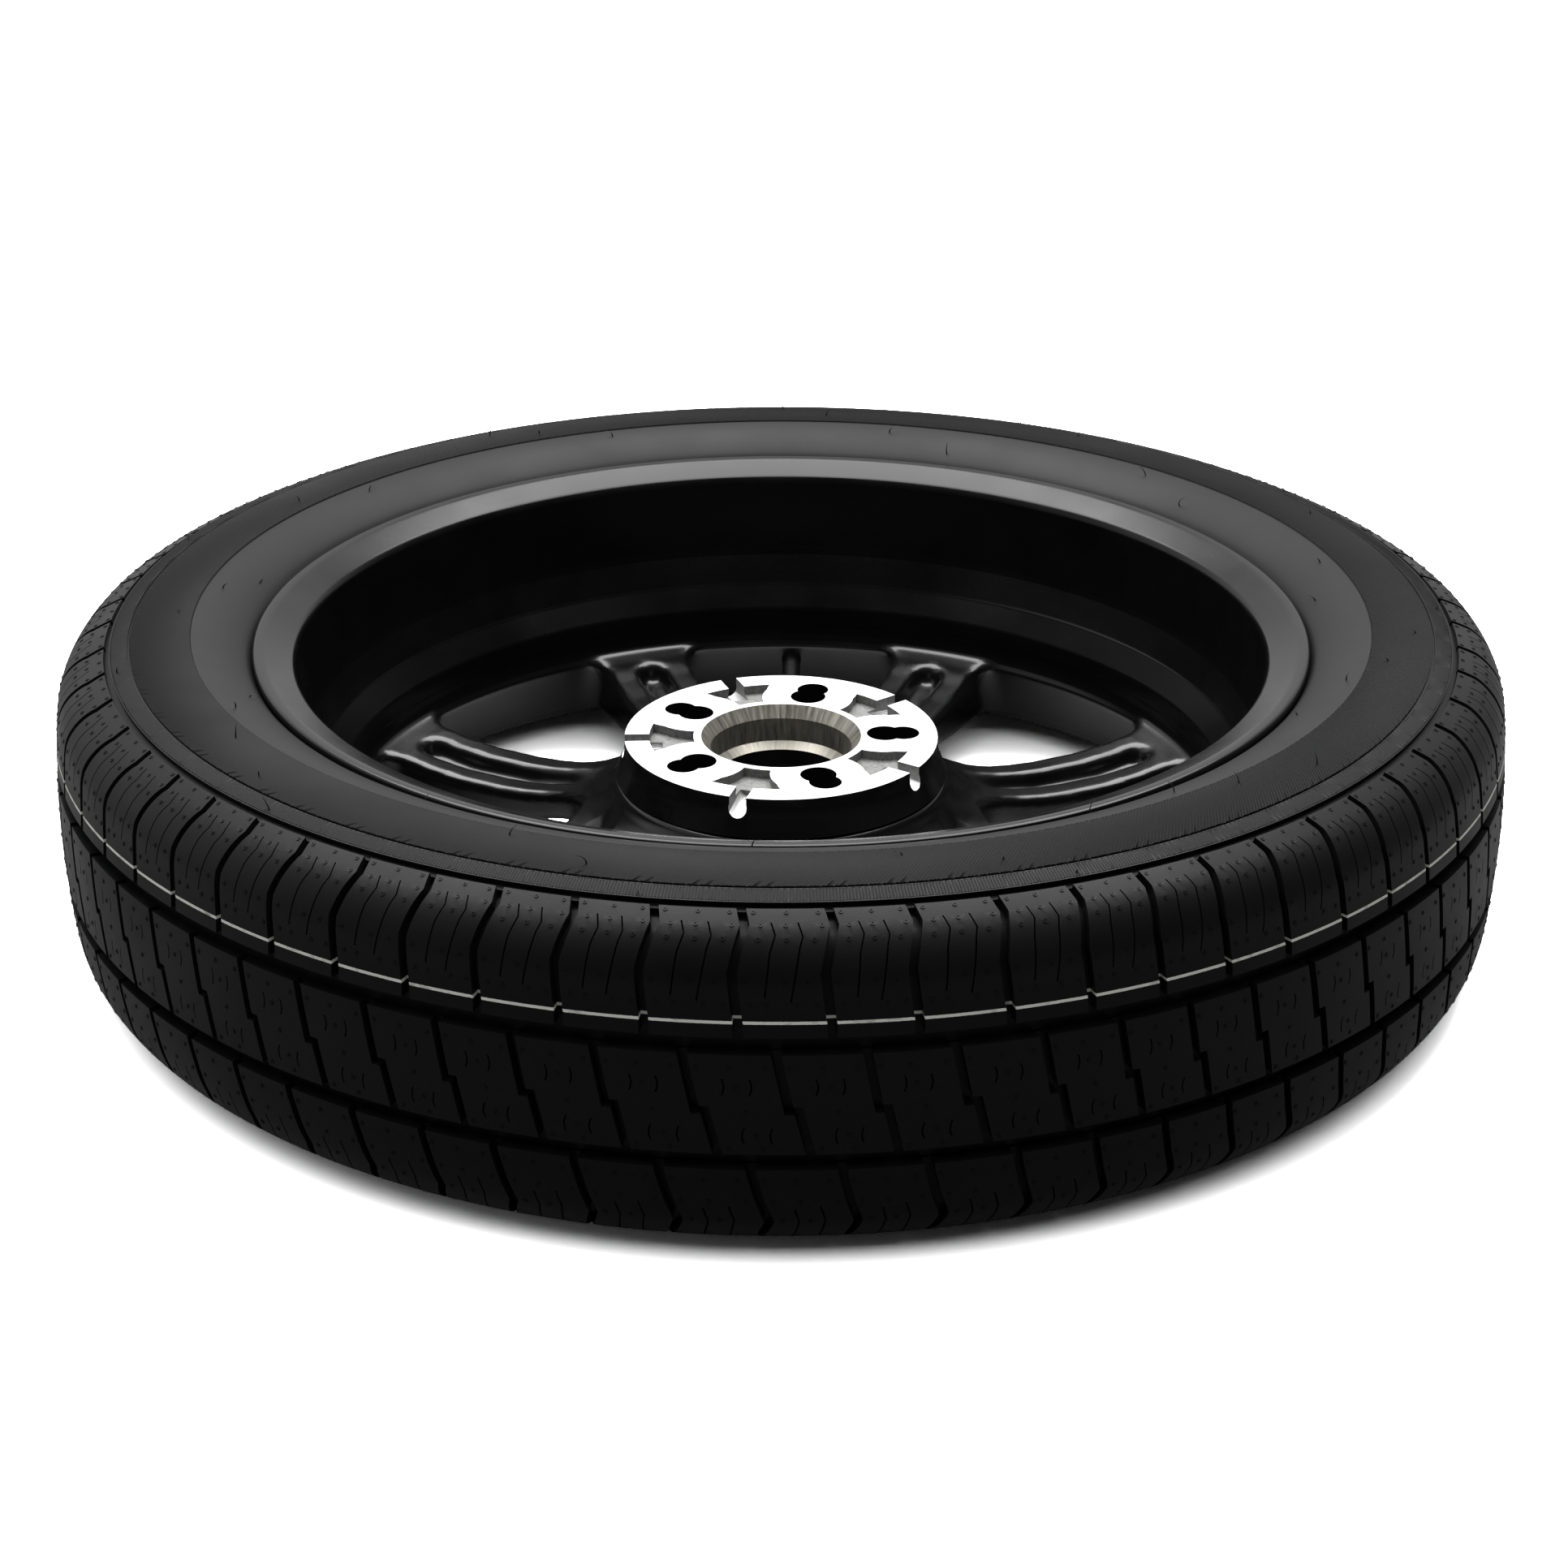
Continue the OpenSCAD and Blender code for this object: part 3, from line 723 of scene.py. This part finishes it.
def loop_distance(loop, r, z):
    """Signed distance to a closed outline, negative inside."""
    nearest, inside = np.full(r.shape, np.inf), np.zeros(r.shape, bool)
    for (ar, az), (br, bz) in zip(loop, loop[1:] + loop[:1]):
        er, ez = br - ar, bz - az
        if er == 0 and ez == 0:
            continue
        t = np.clip(((r - ar) * er + (z - az) * ez) / (er * er + ez * ez), 0, 1)
        nearest = np.minimum(nearest, np.hypot(r - ar - t * er, z - az - t * ez))
        if az != bz:
            crosses = (az > z) != (bz > z)
            inside ^= crosses & (r < ar + er * (z - az) / ez)
    return np.where(inside, -nearest, nearest)


def blurred(table, sigma):
    """The same table smoothed along both axes; sigma is in steps of the table."""
    reach = int(3 * sigma)
    weights = np.exp(-0.5 * (np.arange(-reach, reach + 1) / sigma) ** 2)
    weights /= weights.sum()
    for axis in (0, 1):
        size = table.shape[axis]
        padded = np.pad(table, [(reach, reach) if k == axis else (0, 0) for k in (0, 1)], "edge")
        table = sum(w * np.take(padded, range(i, i + size), axis) for i, w in enumerate(weights))
    return table


def smooth_min(a, b, reach):
    """Distance to what lies in either form, with a soft fillet where the two meet."""
    h = np.maximum(reach - np.abs(a - b), 0) / reach
    return np.minimum(a, b) - h * h * reach / 4


def round_max(a, b, radius):
    """Distance to what lies in both forms, with the edge between them rounded."""
    corner = np.hypot(np.maximum(a + radius, 0), np.maximum(b + radius, 0))
    return np.minimum(-radius, np.maximum(a, b)) + corner


def section_table():
    """Distances to the section of rim and disc, for every radius and height of the table."""
    r, z = np.meshgrid(TABLE_LOW[0] + TABLE_STEP * np.arange(TABLE_SIZE[0]),
                       TABLE_LOW[1] + TABLE_STEP * np.arange(TABLE_SIZE[1]), indexing="ij")
    joined = smooth_min(loop_distance(RIM_LOOP, r, z), loop_distance(DISC_LOOP, r, z), BLEND_REACH)
    return blurred(joined, BLUR_STEPS)


SECTION = section_table()


def section_distance(r, z):
    """Distance read from the table, in between its four nearest entries."""
    i = np.clip((r - TABLE_LOW[0]) / TABLE_STEP, 0, TABLE_SIZE[0] - 1.001)
    j = np.clip((z - TABLE_LOW[1]) / TABLE_STEP, 0, TABLE_SIZE[1] - 1.001)
    i0, j0 = i.astype(int), j.astype(int)
    u, v = i - i0, j - j0
    return ((1 - u) * (1 - v) * SECTION[i0, j0] + u * (1 - v) * SECTION[i0 + 1, j0]
            + (1 - u) * v * SECTION[i0, j0 + 1] + u * v * SECTION[i0 + 1, j0 + 1])


def disc_distance(r, a, z):
    """Distance to the disc and the lower half of the rim; a is the angle from the middle of a spoke."""
    turn = np.radians(np.abs(a))
    x, y = r * np.cos(turn), r * np.sin(turn)
    middle = r * np.cos(math.radians(HALF_SECTOR) - turn)
    rise, run = WINDOW_TOP[1] - WINDOW_FOOT[1], WINDOW_FOOT[0] - WINDOW_TOP[0]
    slant = ((r - WINDOW_TOP[0]) * rise + (z - WINDOW_TOP[1]) * run) / math.hypot(rise, run)
    outer = np.minimum(r - WINDOW_TOP[0], np.maximum(slant, r - WINDOW_FOOT[0]))
    window = round_max(round_max(SPOKE_HALF - y, WINDOW_IN - middle, WINDOW_END_R), outer, WINDOW_CORNER_R)
    body = round_max(section_distance(r, z), -window, SPOKE_EDGE_R)
    floor = np.interp(x, *GROOVE_FLOOR)
    slot = np.hypot(np.maximum(x - GROOVE_FAR, 0), y) - GROOVE_HALF
    groove = round_max(slot, (floor - z) * GROOVE_FLATTEN, GROOVE_FOOT_R)
    body = round_max(body, -groove, GROOVE_EDGE_R)
    sunk = body + np.clip(JOINT_R - r, 0, 1) * JOINT_SINK
    under_hub = np.where(r < HUB_R + HUB_GAP, z - HUB_TOP, DEEP)
    body = np.maximum(sunk, np.maximum(DISC_IN_R - r, under_hub))
    beside_wall = np.where(z > WALL_TOP, WALL_R + WALL_LEAN * (z - WALL_TOP) - r, DEEP)
    top = np.maximum(z - DISC_TOP, beside_wall)
    return np.where(r > RIM_SIDE_R, np.maximum(body, top), body)


def net_of_cells(values):
    """Surface net of one sector: the crossing point of every cell, in steps, and its number or -1."""
    closed = np.concatenate([values, values[:, :1]], axis=1)
    corner = {}
    shape = tuple(n - 1 for n in closed.shape)
    for d in np.ndindex(2, 2, 2):
        corner[d] = closed[d[0]:d[0] + shape[0], d[1]:d[1] + shape[1], d[2]:d[2] + shape[2]]
    total, hits = np.zeros(shape + (3,)), np.zeros(shape)
    for d in np.ndindex(2, 2, 2):
        for axis in range(3):
            if d[axis]:
                continue
            e = tuple(1 if k == axis else d[k] for k in range(3))
            a, b = corner[d], corner[e]
            cross = (a < 0) != (b < 0)
            t = np.where(cross, a / np.where(cross, a - b, 1), 0)
            hits += cross
            for k in range(3):
                total[..., k] += cross * (t if k == axis else d[k])
    active = hits > 0
    number = np.full(shape, -1)
    number[active] = np.arange(active.sum())
    cells = np.argwhere(active)
    return cells + total[active] / hits[active][:, None], number


def net_faces(values, number):
    """Four cells round every crossed edge: their numbers, and -1 where one lies in the sector before."""
    n_a = values.shape[1]
    inner, rest, whole = slice(1, -1), slice(1, None), slice(None)
    following = np.roll(values, -1, axis=1)
    edges = (
        (values[:-1, :, inner], values[1:, :, inner], (whole, whole, rest),
         [(0, -1, -1), (0, 0, -1), (0, 0, 0), (0, -1, 0)]),
        (values[inner, :, inner], following[inner, :, inner], (rest, whole, rest),
         [(-1, 0, -1), (-1, 0, 0), (0, 0, 0), (0, 0, -1)]),
        (values[inner, :, :-1], values[inner, :, 1:], (rest, whole, whole),
         [(-1, -1, 0), (0, -1, 0), (0, 0, 0), (-1, 0, 0)]))
    faces = []
    for a, b, part, around in edges:
        crossed, rising = np.zeros(number.shape, bool), np.zeros(number.shape, bool)
        crossed[part] = (a < 0) != (b < 0)
        rising[part] = a < 0
        for flip in (False, True):
            where = np.argwhere(crossed & (rising != flip))
            columns = [where[:, 1] + dj for di, dj, dk in around]
            quad = np.stack([number[where[:, 0] + di, j % n_a, where[:, 2] + dk]
                             for j, (di, dj, dk) in zip(columns, around)], 1)
            turn = np.stack([np.where(j < 0, -1, 0) for j in columns], 1)
            faces.append((quad[:, ::-1], turn[:, ::-1]) if flip else (quad, turn))
    return faces


# Grid of the disc's distance field, as radius, angle within one sector and height
GRID_LOW = (80.0, -HALF_SECTOR, 2.0)
GRID_COUNTS = (77, 62, 34)
GRID_STEP = (2.6, 2 * HALF_SECTOR / GRID_COUNTS[1], 2.5)
# Pull of the net's points onto the surface
PULL_ROUNDS = 3
PULL_LIMIT = 1.5
SLOPE_REACH = 0.05
LEAST_SLOPE_SQUARED = 0.25


def pulled(place):
    """The same points moved along the slope of the distance field towards its surface."""
    r, a, z = place.T
    e = SLOPE_REACH
    rises = [disc_distance(r + e, a, z) - disc_distance(r - e, a, z),
             (disc_distance(r, a + e, z) - disc_distance(r, a - e, z)) / np.radians(r),
             disc_distance(r, a, z + e) - disc_distance(r, a, z - e)]
    slope = np.stack(rises, 1) / (2 * e)
    steepness = np.maximum((slope ** 2).sum(1), LEAST_SLOPE_SQUARED)
    move = np.clip(-disc_distance(r, a, z)[:, None] * slope / steepness[:, None], -PULL_LIMIT, PULL_LIMIT)
    return place + np.stack([move[:, 0], np.degrees(move[:, 1] / r), move[:, 2]], 1)


def cast_disc():
    """Points and faces of the whole disc, as one sector's surface net repeated round the axis."""
    grid = [low + step * np.arange(count) for low, step, count in zip(GRID_LOW, GRID_STEP, GRID_COUNTS)]
    values = disc_distance(*np.meshgrid(*grid, indexing="ij"))
    cells, number = net_of_cells(values)
    place = np.array(GRID_LOW) + cells * np.array(GRID_STEP)
    for _ in range(PULL_ROUNDS):
        place = pulled(place)
    vertices = [to_xyz(place[:, 0], place[:, 1] + SPOKE_TURN + 2 * HALF_SECTOR * k, place[:, 2])
                for k in range(SECTORS)]
    faces = []
    for quad, turn in net_faces(values, number):
        for k in range(SECTORS):
            faces.append(((turn + k) % SECTORS) * len(place) + quad)
    return np.vstack(vertices), np.vstack(faces)


# A fillet takes less than half of each side
FILLET_SHARE = 2.1


def fillet(points, radius, steps=4):
    """The same outline with each inner corner rounded; radius is the length that is cut from each side."""
    out = [points[0]]
    for before, here, after in zip(points, points[1:], points[2:]):
        a, b, c = (np.array(p, float) for p in (before, here, after))
        back, ahead = np.linalg.norm(a - b), np.linalg.norm(c - b)
        reach = min(radius, back / FILLET_SHARE, ahead / FILLET_SHARE)
        p = b + (a - b) / back * reach
        q = b + (c - b) / ahead * reach
        for t in np.linspace(0, 1, steps + 1):
            out.append(tuple((1 - t) ** 2 * p + 2 * t * (1 - t) * b + t * t * q))
    return out + [points[-1]]


PAINT_SHADES = ((0.0012, 0.0012, 0.0013, 1), (0.0028, 0.0028, 0.003, 1))
PAINT_ROUGHNESS = (0.20, 0.28)
# The barrel is dull between these heights, apart from a band of the full gloss
DULL_Z = (58.0, 152.5)
BAND_Z = (92.4, 109.5)
SLOPE_TOP_Z = 56.8
PLAIN_GLOSS = 0.45
DULL_GLOSS = 0.05
SLOPE_EXTRA_GLOSS = 0.5
FLANGE_EXTRA_GLOSS = -0.25


def paint_material():
    """Black paint: dull in the barrel, glossier on the slope of the windows, duller on the flange."""
    mat, tree, shader = material("black_paint", roughness=0.25, specular=0.42)
    place, radius, z = cylinder_place(tree)
    cloud = noise(tree, 30.0, 4.0, place)
    grain = noise(tree, 1400.0, 3.0, place)
    colour = mix_colour(tree, cloud, *PAINT_SHADES)
    barrel = both(tree, above(tree, radius, WALL_R - 1), below(tree, z, DULL_Z[1]))
    barrel = both(tree, barrel, above(tree, z, DULL_Z[0]))
    band = both(tree, above(tree, z, BAND_Z[0]), below(tree, z, BAND_Z[1]))
    dull = both(tree, barrel, math_node(tree, "SUBTRACT", 1.0, band))
    slope = both(tree, above(tree, radius, WALL_R - 4), below(tree, z, SLOPE_TOP_Z))
    gloss = math_node(tree, "MULTIPLY_ADD", dull, DULL_GLOSS - PLAIN_GLOSS, PLAIN_GLOSS)
    gloss = math_node(tree, "MULTIPLY_ADD", slope, SLOPE_EXTRA_GLOSS, gloss)
    gloss = math_node(tree, "MULTIPLY_ADD", above(tree, z, DULL_Z[1]), FLANGE_EXTRA_GLOSS, gloss)
    wire(tree, shader, colour, ramp(tree, cloud, 0.3, 0.7, *PAINT_ROUGHNESS), gloss)
    bump(tree, shader, grain, 0.00008, 0.3)
    return mat


def machined_material():
    """The pad: faced in a lathe, with fine rings."""
    mat, tree, shader = material("machined_face", (0.84, 0.84, 0.85), 0.38, 0.55)
    place, radius, _ = cylinder_place(tree)
    radians_per_metre = 9000.0
    wave = math_node(tree, "SINE", math_node(tree, "MULTIPLY", radius, radians_per_metre))
    cloud = noise(tree, 45.0, 4.0, place)
    colour = mix_colour(tree, cloud, (0.78, 0.78, 0.79, 1), (0.9, 0.9, 0.9, 1))
    wire(tree, shader, colour, ramp(tree, cloud, 0.3, 0.7, 0.32, 0.46))
    bump(tree, shader, wave, 0.00002, 0.25)
    return mat


def cast_material():
    """The pocket floors and walls: bare grey casting with a coarse grain."""
    mat, tree, shader = material("bare_casting", roughness=0.6, metallic=0.35)
    place = object_place(tree)
    grain = noise(tree, 620.0, 4.0, place)
    cloud = noise(tree, 60.0, 3.0, place)
    level = math_node(tree, "MULTIPLY_ADD", grain, 0.6, math_node(tree, "MULTIPLY", cloud, 0.4))
    level = ramp(tree, level, 0.3, 0.7)
    wire(tree, shader, mix_colour(tree, level, (0.07, 0.07, 0.07, 1), (0.20, 0.20, 0.195, 1)), None)
    bump(tree, shader, grain, 0.0003, 0.6)
    return mat


def bored_material():
    """Bore and chamfers: turned metal, whose colour carries upright light and dark streaks of painted
    reflection.
    """
    mat, tree, shader = material("bored_metal", roughness=0.35, metallic=0.8)
    place, _, z = cylinder_place(tree)
    split = add_node(tree, "SeparateXYZ", {0: place}).outputs
    turn = math_node(tree, "ARCTAN2", split[1], split[0])
    flat = add_node(tree, "CombineXYZ", {0: turn, 1: math_node(tree, "MULTIPLY", z, 3.0)}).outputs[0]
    # The upright light and dark streaks in the colour are painted reflections; the same pattern also varies
    # the roughness.
    reflection_streak = noise(tree, 22.0, 4.0, flat)
    colour = mix_colour(tree, reflection_streak, (0.05, 0.047, 0.04, 1), (0.4, 0.38, 0.33, 1))
    wire(tree, shader, colour, ramp(tree, reflection_streak, 0.3, 0.7, 0.25, 0.5))
    return mat


def closed_by(faces, points):
    """Faces that join the upper of a surface's two longest open rings to the lower one."""
    used = dict.fromkeys(edge for face in faces for edge in zip(face, face[1:] + face[:1]))
    loose = {b: a for a, b in used if (b, a) not in used}
    rings = []
    while loose:
        ring, at = [], next(iter(loose))
        while at in loose:
            ring.append(at)
            at = loose.pop(at)
        rings.append(ring)
    rings.sort(key=len)
    upper, lower = sorted(rings[-2:], key=lambda ring: -points[ring[0]][2])
    lower = lower[::-1]
    local = zip_rings(points[upper], points[lower], 0, len(upper))
    index = upper + lower
    return [tuple(index[i] for i in face) for face in local]


# Hub: five double bolt holes, of which one stands at the angle BOLT_TURN, with a pocket between each two
BOLT_TURN = 2.5
BOLT_SECTOR = 72.0
BOLT_CIRCLES = (55.0, 65.0)
BOLT_BOSS_R = 12.5
PAD_Z = 99.0
BORE_R = 43.0
BORE_FOOT_Z = 75.5
POCKET_DEPTH = 12.0
POCKET_FAR_R = 82.9
POCKET_LEDGE_R = 71.0
DRAIN_DEPTH = 11.5
DRAIN_HALF = 4.9
DRAIN_FAR_R = 84.0
# Least upward part of the normal of a level face and of a face that still looks up
LEVEL = 0.9
UPWARD = 0.45
ON_PAINT, ON_MACHINED, ON_CASTING, ON_BORED = range(4)


def hub_finish(centre, normal):
    """Index of the finish of one face of the hub: paint, machined, cast or bored."""
    radius, z = math.hypot(centre[0], centre[1]), centre[2]
    if z > PAD_Z - 0.1 and normal[2] > LEVEL:
        return ON_MACHINED
    if radius < BORE_R and z > BORE_FOOT_Z:
        return ON_BORED
    half = BOLT_SECTOR / 2
    off = (math.degrees(math.atan2(centre[1], centre[0])) - BOLT_TURN + half) % BOLT_SECTOR - half
    along, beside = radius * math.cos(math.radians(off)), radius * math.sin(math.radians(off))
    from_bolt = min(math.hypot(along - circle_r, beside) for circle_r in BOLT_CIRCLES)
    from_drain = abs(radius * math.sin(math.radians(half - abs(off))))
    if z > PAD_Z - POCKET_DEPTH and from_bolt > BOLT_BOSS_R and radius < POCKET_FAR_R:
        return ON_MACHINED if radius > POCKET_LEDGE_R and normal[2] > UPWARD else ON_CASTING
    in_drain = z > PAD_Z - DRAIN_DEPTH and from_drain < DRAIN_HALF and radius < DRAIN_FAR_R
    return ON_CASTING if in_drain and normal[2] > UPWARD else ON_PAINT


def hub_piece():
    """The hub, as the middle of the CAD wheel's own mesh, with its finishes by face."""
    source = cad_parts["wheel"].data
    points = np.round(np.array([v.co for v in source.vertices]) / MM, 3)
    points, joined = np.unique(points, axis=0, return_inverse=True)
    joined = joined.ravel()
    radius = np.hypot(points[:, 0], points[:, 1])
    faces = [tuple(int(joined[v]) for v in p.vertices) for p in source.polygons]
    faces = [f for f in faces if len(set(f)) == len(f) and max(radius[v] for v in f) < HUB_R]
    extra = closed_by(faces, points)
    used = sorted({v for face in faces for v in face})
    place = {v: i for i, v in enumerate(used)}
    faces = [tuple(place[v] for v in face) for face in faces + extra]
    piece = make_object("wheel_hub", points[used], faces, PAINT, 30.0)
    for finish in (MACHINED, CASTING, BORED):
        piece.data.materials.append(finish)
    for polygon in piece.data.polygons:
        polygon.material_index = hub_finish(np.array(polygon.center) / MM, polygon.normal)
    stand_for(piece, "wheel")


PAINT, MACHINED, CASTING, BORED = paint_material(), machined_material(), cast_material(), bored_material()
disc_points, disc_faces = cast_disc()
stand_for(make_object("wheel_disc", disc_points, disc_faces, PAINT, 50.0), "wheel")
hub_piece()

# Upper rim: its section from the wall's top up the tyre's side, over the lip and down the barrel
RIM_COUNT = 540
WELL_FILLET = 4.0
LIP_FILLET = 1.3
TYRE_SIDE = [(WELL[1][0], WALL_TOP)] + WELL[2:] + BEAD_TOP[:2]
BARREL_SIDE = [LIP_ARC[-1]] + LIP_TOP + BARREL[:3] + [(WALL_R, WALL_TOP)]
RIM_TOP_LOOP = (fillet(TYRE_SIDE, WELL_FILLET) + BEAD_TOP[2:3] + LIP_ARC
                + fillet(BARREL_SIDE, LIP_FILLET)[1:])
rim_rings = [free_ring(r, z, RIM_COUNT) for r, z in RIM_TOP_LOOP]
stand_for(ring_skin("wheel_rim", rim_rings, 40.0, made_of=PAINT), "wheel")

# Small parts of the valve: finish of each node as colour, roughness, metal and grain
SMALL_PARTS = {
    "valve_rubber": ((0.003, 0.003, 0.003), 0.5, 0.0, 700.0),
    "valve_cap": ((0.004, 0.004, 0.004), 0.45, 0.0, 500.0),
    "cap_seal": ((0.02, 0.02, 0.02), 0.6, 0.0, 900.0),
    "core_cup_seal": ((0.02, 0.02, 0.02), 0.6, 0.0, 900.0),
    "core_gasket": ((0.75, 0.75, 0.71), 0.5, 0.0, 900.0),
    "valve_stem": ((0.55, 0.40, 0.14), 0.32, 1.0, 1200.0),
    "core_body": ((0.6, 0.45, 0.18), 0.3, 1.0, 1200.0),
    "core_pin": ((0.6, 0.48, 0.22), 0.28, 1.0, 1500.0),
    "core_spring": ((0.55, 0.55, 0.57), 0.25, 1.0, 1500.0)}


def dress_small_parts():
    """Gives the CAD nodes of the valve a finish each, and keeps their shapes."""
    for node_name, (colour, roughness, metal, scale) in SMALL_PARTS.items():
        mat, tree, shader = material(node_name + "_finish", colour, roughness, metal, 0.3)
        grain = noise(tree, scale, 2.0, object_place(tree))
        darker = tuple(0.8 * c for c in colour) + (1.0,)
        rough = ramp(tree, grain, 0.3, 0.7, roughness - 0.06, roughness + 0.08)
        wire(tree, shader, mix_colour(tree, grain, darker, (*colour, 1.0)), rough)
        bump(tree, shader, grain, 0.00004, 0.5)
        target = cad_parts[node_name]
        target.data.materials.clear()
        target.data.materials.append(mat)


dress_small_parts()


# Surroundings: a dark camera side, a bright back, a soft light overhead and a fill for the floor in front
FLOOR_HALF = 12.0
FLOOR_DROP = 0.0002
FLOOR_GREY = 0.25
FLOOR_SEEN = 2.9
WORLD_FRONT = 0.03
WORLD_BACK = 1.1
# The bright back leans towards -X; between these values it fades in from the front
BACK_LEAN = -0.55
BACK_FADE = (-0.25, 0.75)
# Lamps: name, width, depth, place, watts and whether gloss mirrors it
LAMPS = [("softbox", 1.9, 1.5, (0.0, 0.65, 1.5), 85.0, True),
         ("front_fill", 2.6, 1.6, (0.0, -0.95, 1.5), 30.0, False)]


def lay_floor(scene):
    """A floor that the camera sees white, while it lights the wheel from below as a grey one."""
    mesh = bpy.data.meshes.new("floor")
    corners = [(x * FLOOR_HALF, y * FLOOR_HALF, 0) for x, y in ((-1, -1), (1, -1), (1, 1), (-1, 1))]
    mesh.from_pydata(corners, [], [(0, 1, 2, 3)])
    floor_mat, tree, shader = material("floor_paper", roughness=0.9, specular=0.1)
    seen = add_node(tree, "LightPath").outputs["Is Camera Ray"]
    wire(tree, shader, mix_colour(tree, seen, grey(FLOOR_GREY), grey(FLOOR_SEEN)), None)
    mesh.materials.append(floor_mat)
    floor = bpy.data.objects.new("floor", mesh)
    scene.collection.objects.link(floor)
    floor.location.z = -FLOOR_DROP


def light_world(scene):
    """A world that the camera sees white, and that lights the wheel from the back."""
    world = bpy.data.worlds.new("studio")
    scene.world = world
    world.use_nodes = True
    tree = world.node_tree
    path = add_node(tree, "LightPath")
    seen = math_node(tree, "MAXIMUM", path.outputs["Is Camera Ray"], path.outputs["Is Transmission Ray"])
    direction = add_node(tree, "TexCoord").outputs["Generated"]
    toward = add_node(tree, "SeparateXYZ", {0: direction})
    lean = math_node(tree, "MULTIPLY_ADD", toward.outputs[0], BACK_LEAN, toward.outputs[1])
    lit = ramp(tree, lean, *BACK_FADE, WORLD_FRONT, WORLD_BACK)
    strength = math_node(tree, "MAXIMUM", seen, lit)
    back = tree.nodes["Background"]
    back.inputs["Color"].default_value = (1, 1, 1, 1)
    tree.links.new(strength, back.inputs["Strength"])


def surroundings():
    scene = bpy.context.scene
    lay_floor(scene)
    light_world(scene)
    for name, width, depth, place, power, mirrored_too in LAMPS:
        lamp = bpy.data.lights.new(name, "AREA")
        lamp.shape = "RECTANGLE"
        lamp.size, lamp.size_y = width, depth
        lamp.energy = power
        box = bpy.data.objects.new(name, lamp)
        box.location = place
        box.visible_glossy = mirrored_too
        scene.collection.objects.link(box)

    camera_data = bpy.data.cameras.new("camera")
    camera_data.sensor_width = SENSOR_MM
    camera_data.lens = FOCAL_PX / IMAGE_PX * SENSOR_MM
    camera = bpy.data.objects.new("camera", camera_data)
    camera.location = CAMERA_AT
    camera.rotation_euler = (math.radians(90 - CAMERA_DOWN), 0.0, math.radians(CAMERA_YAW))
    scene.collection.objects.link(camera)
    scene.camera = camera
    scene.view_settings.view_transform = "Standard"


surroundings()
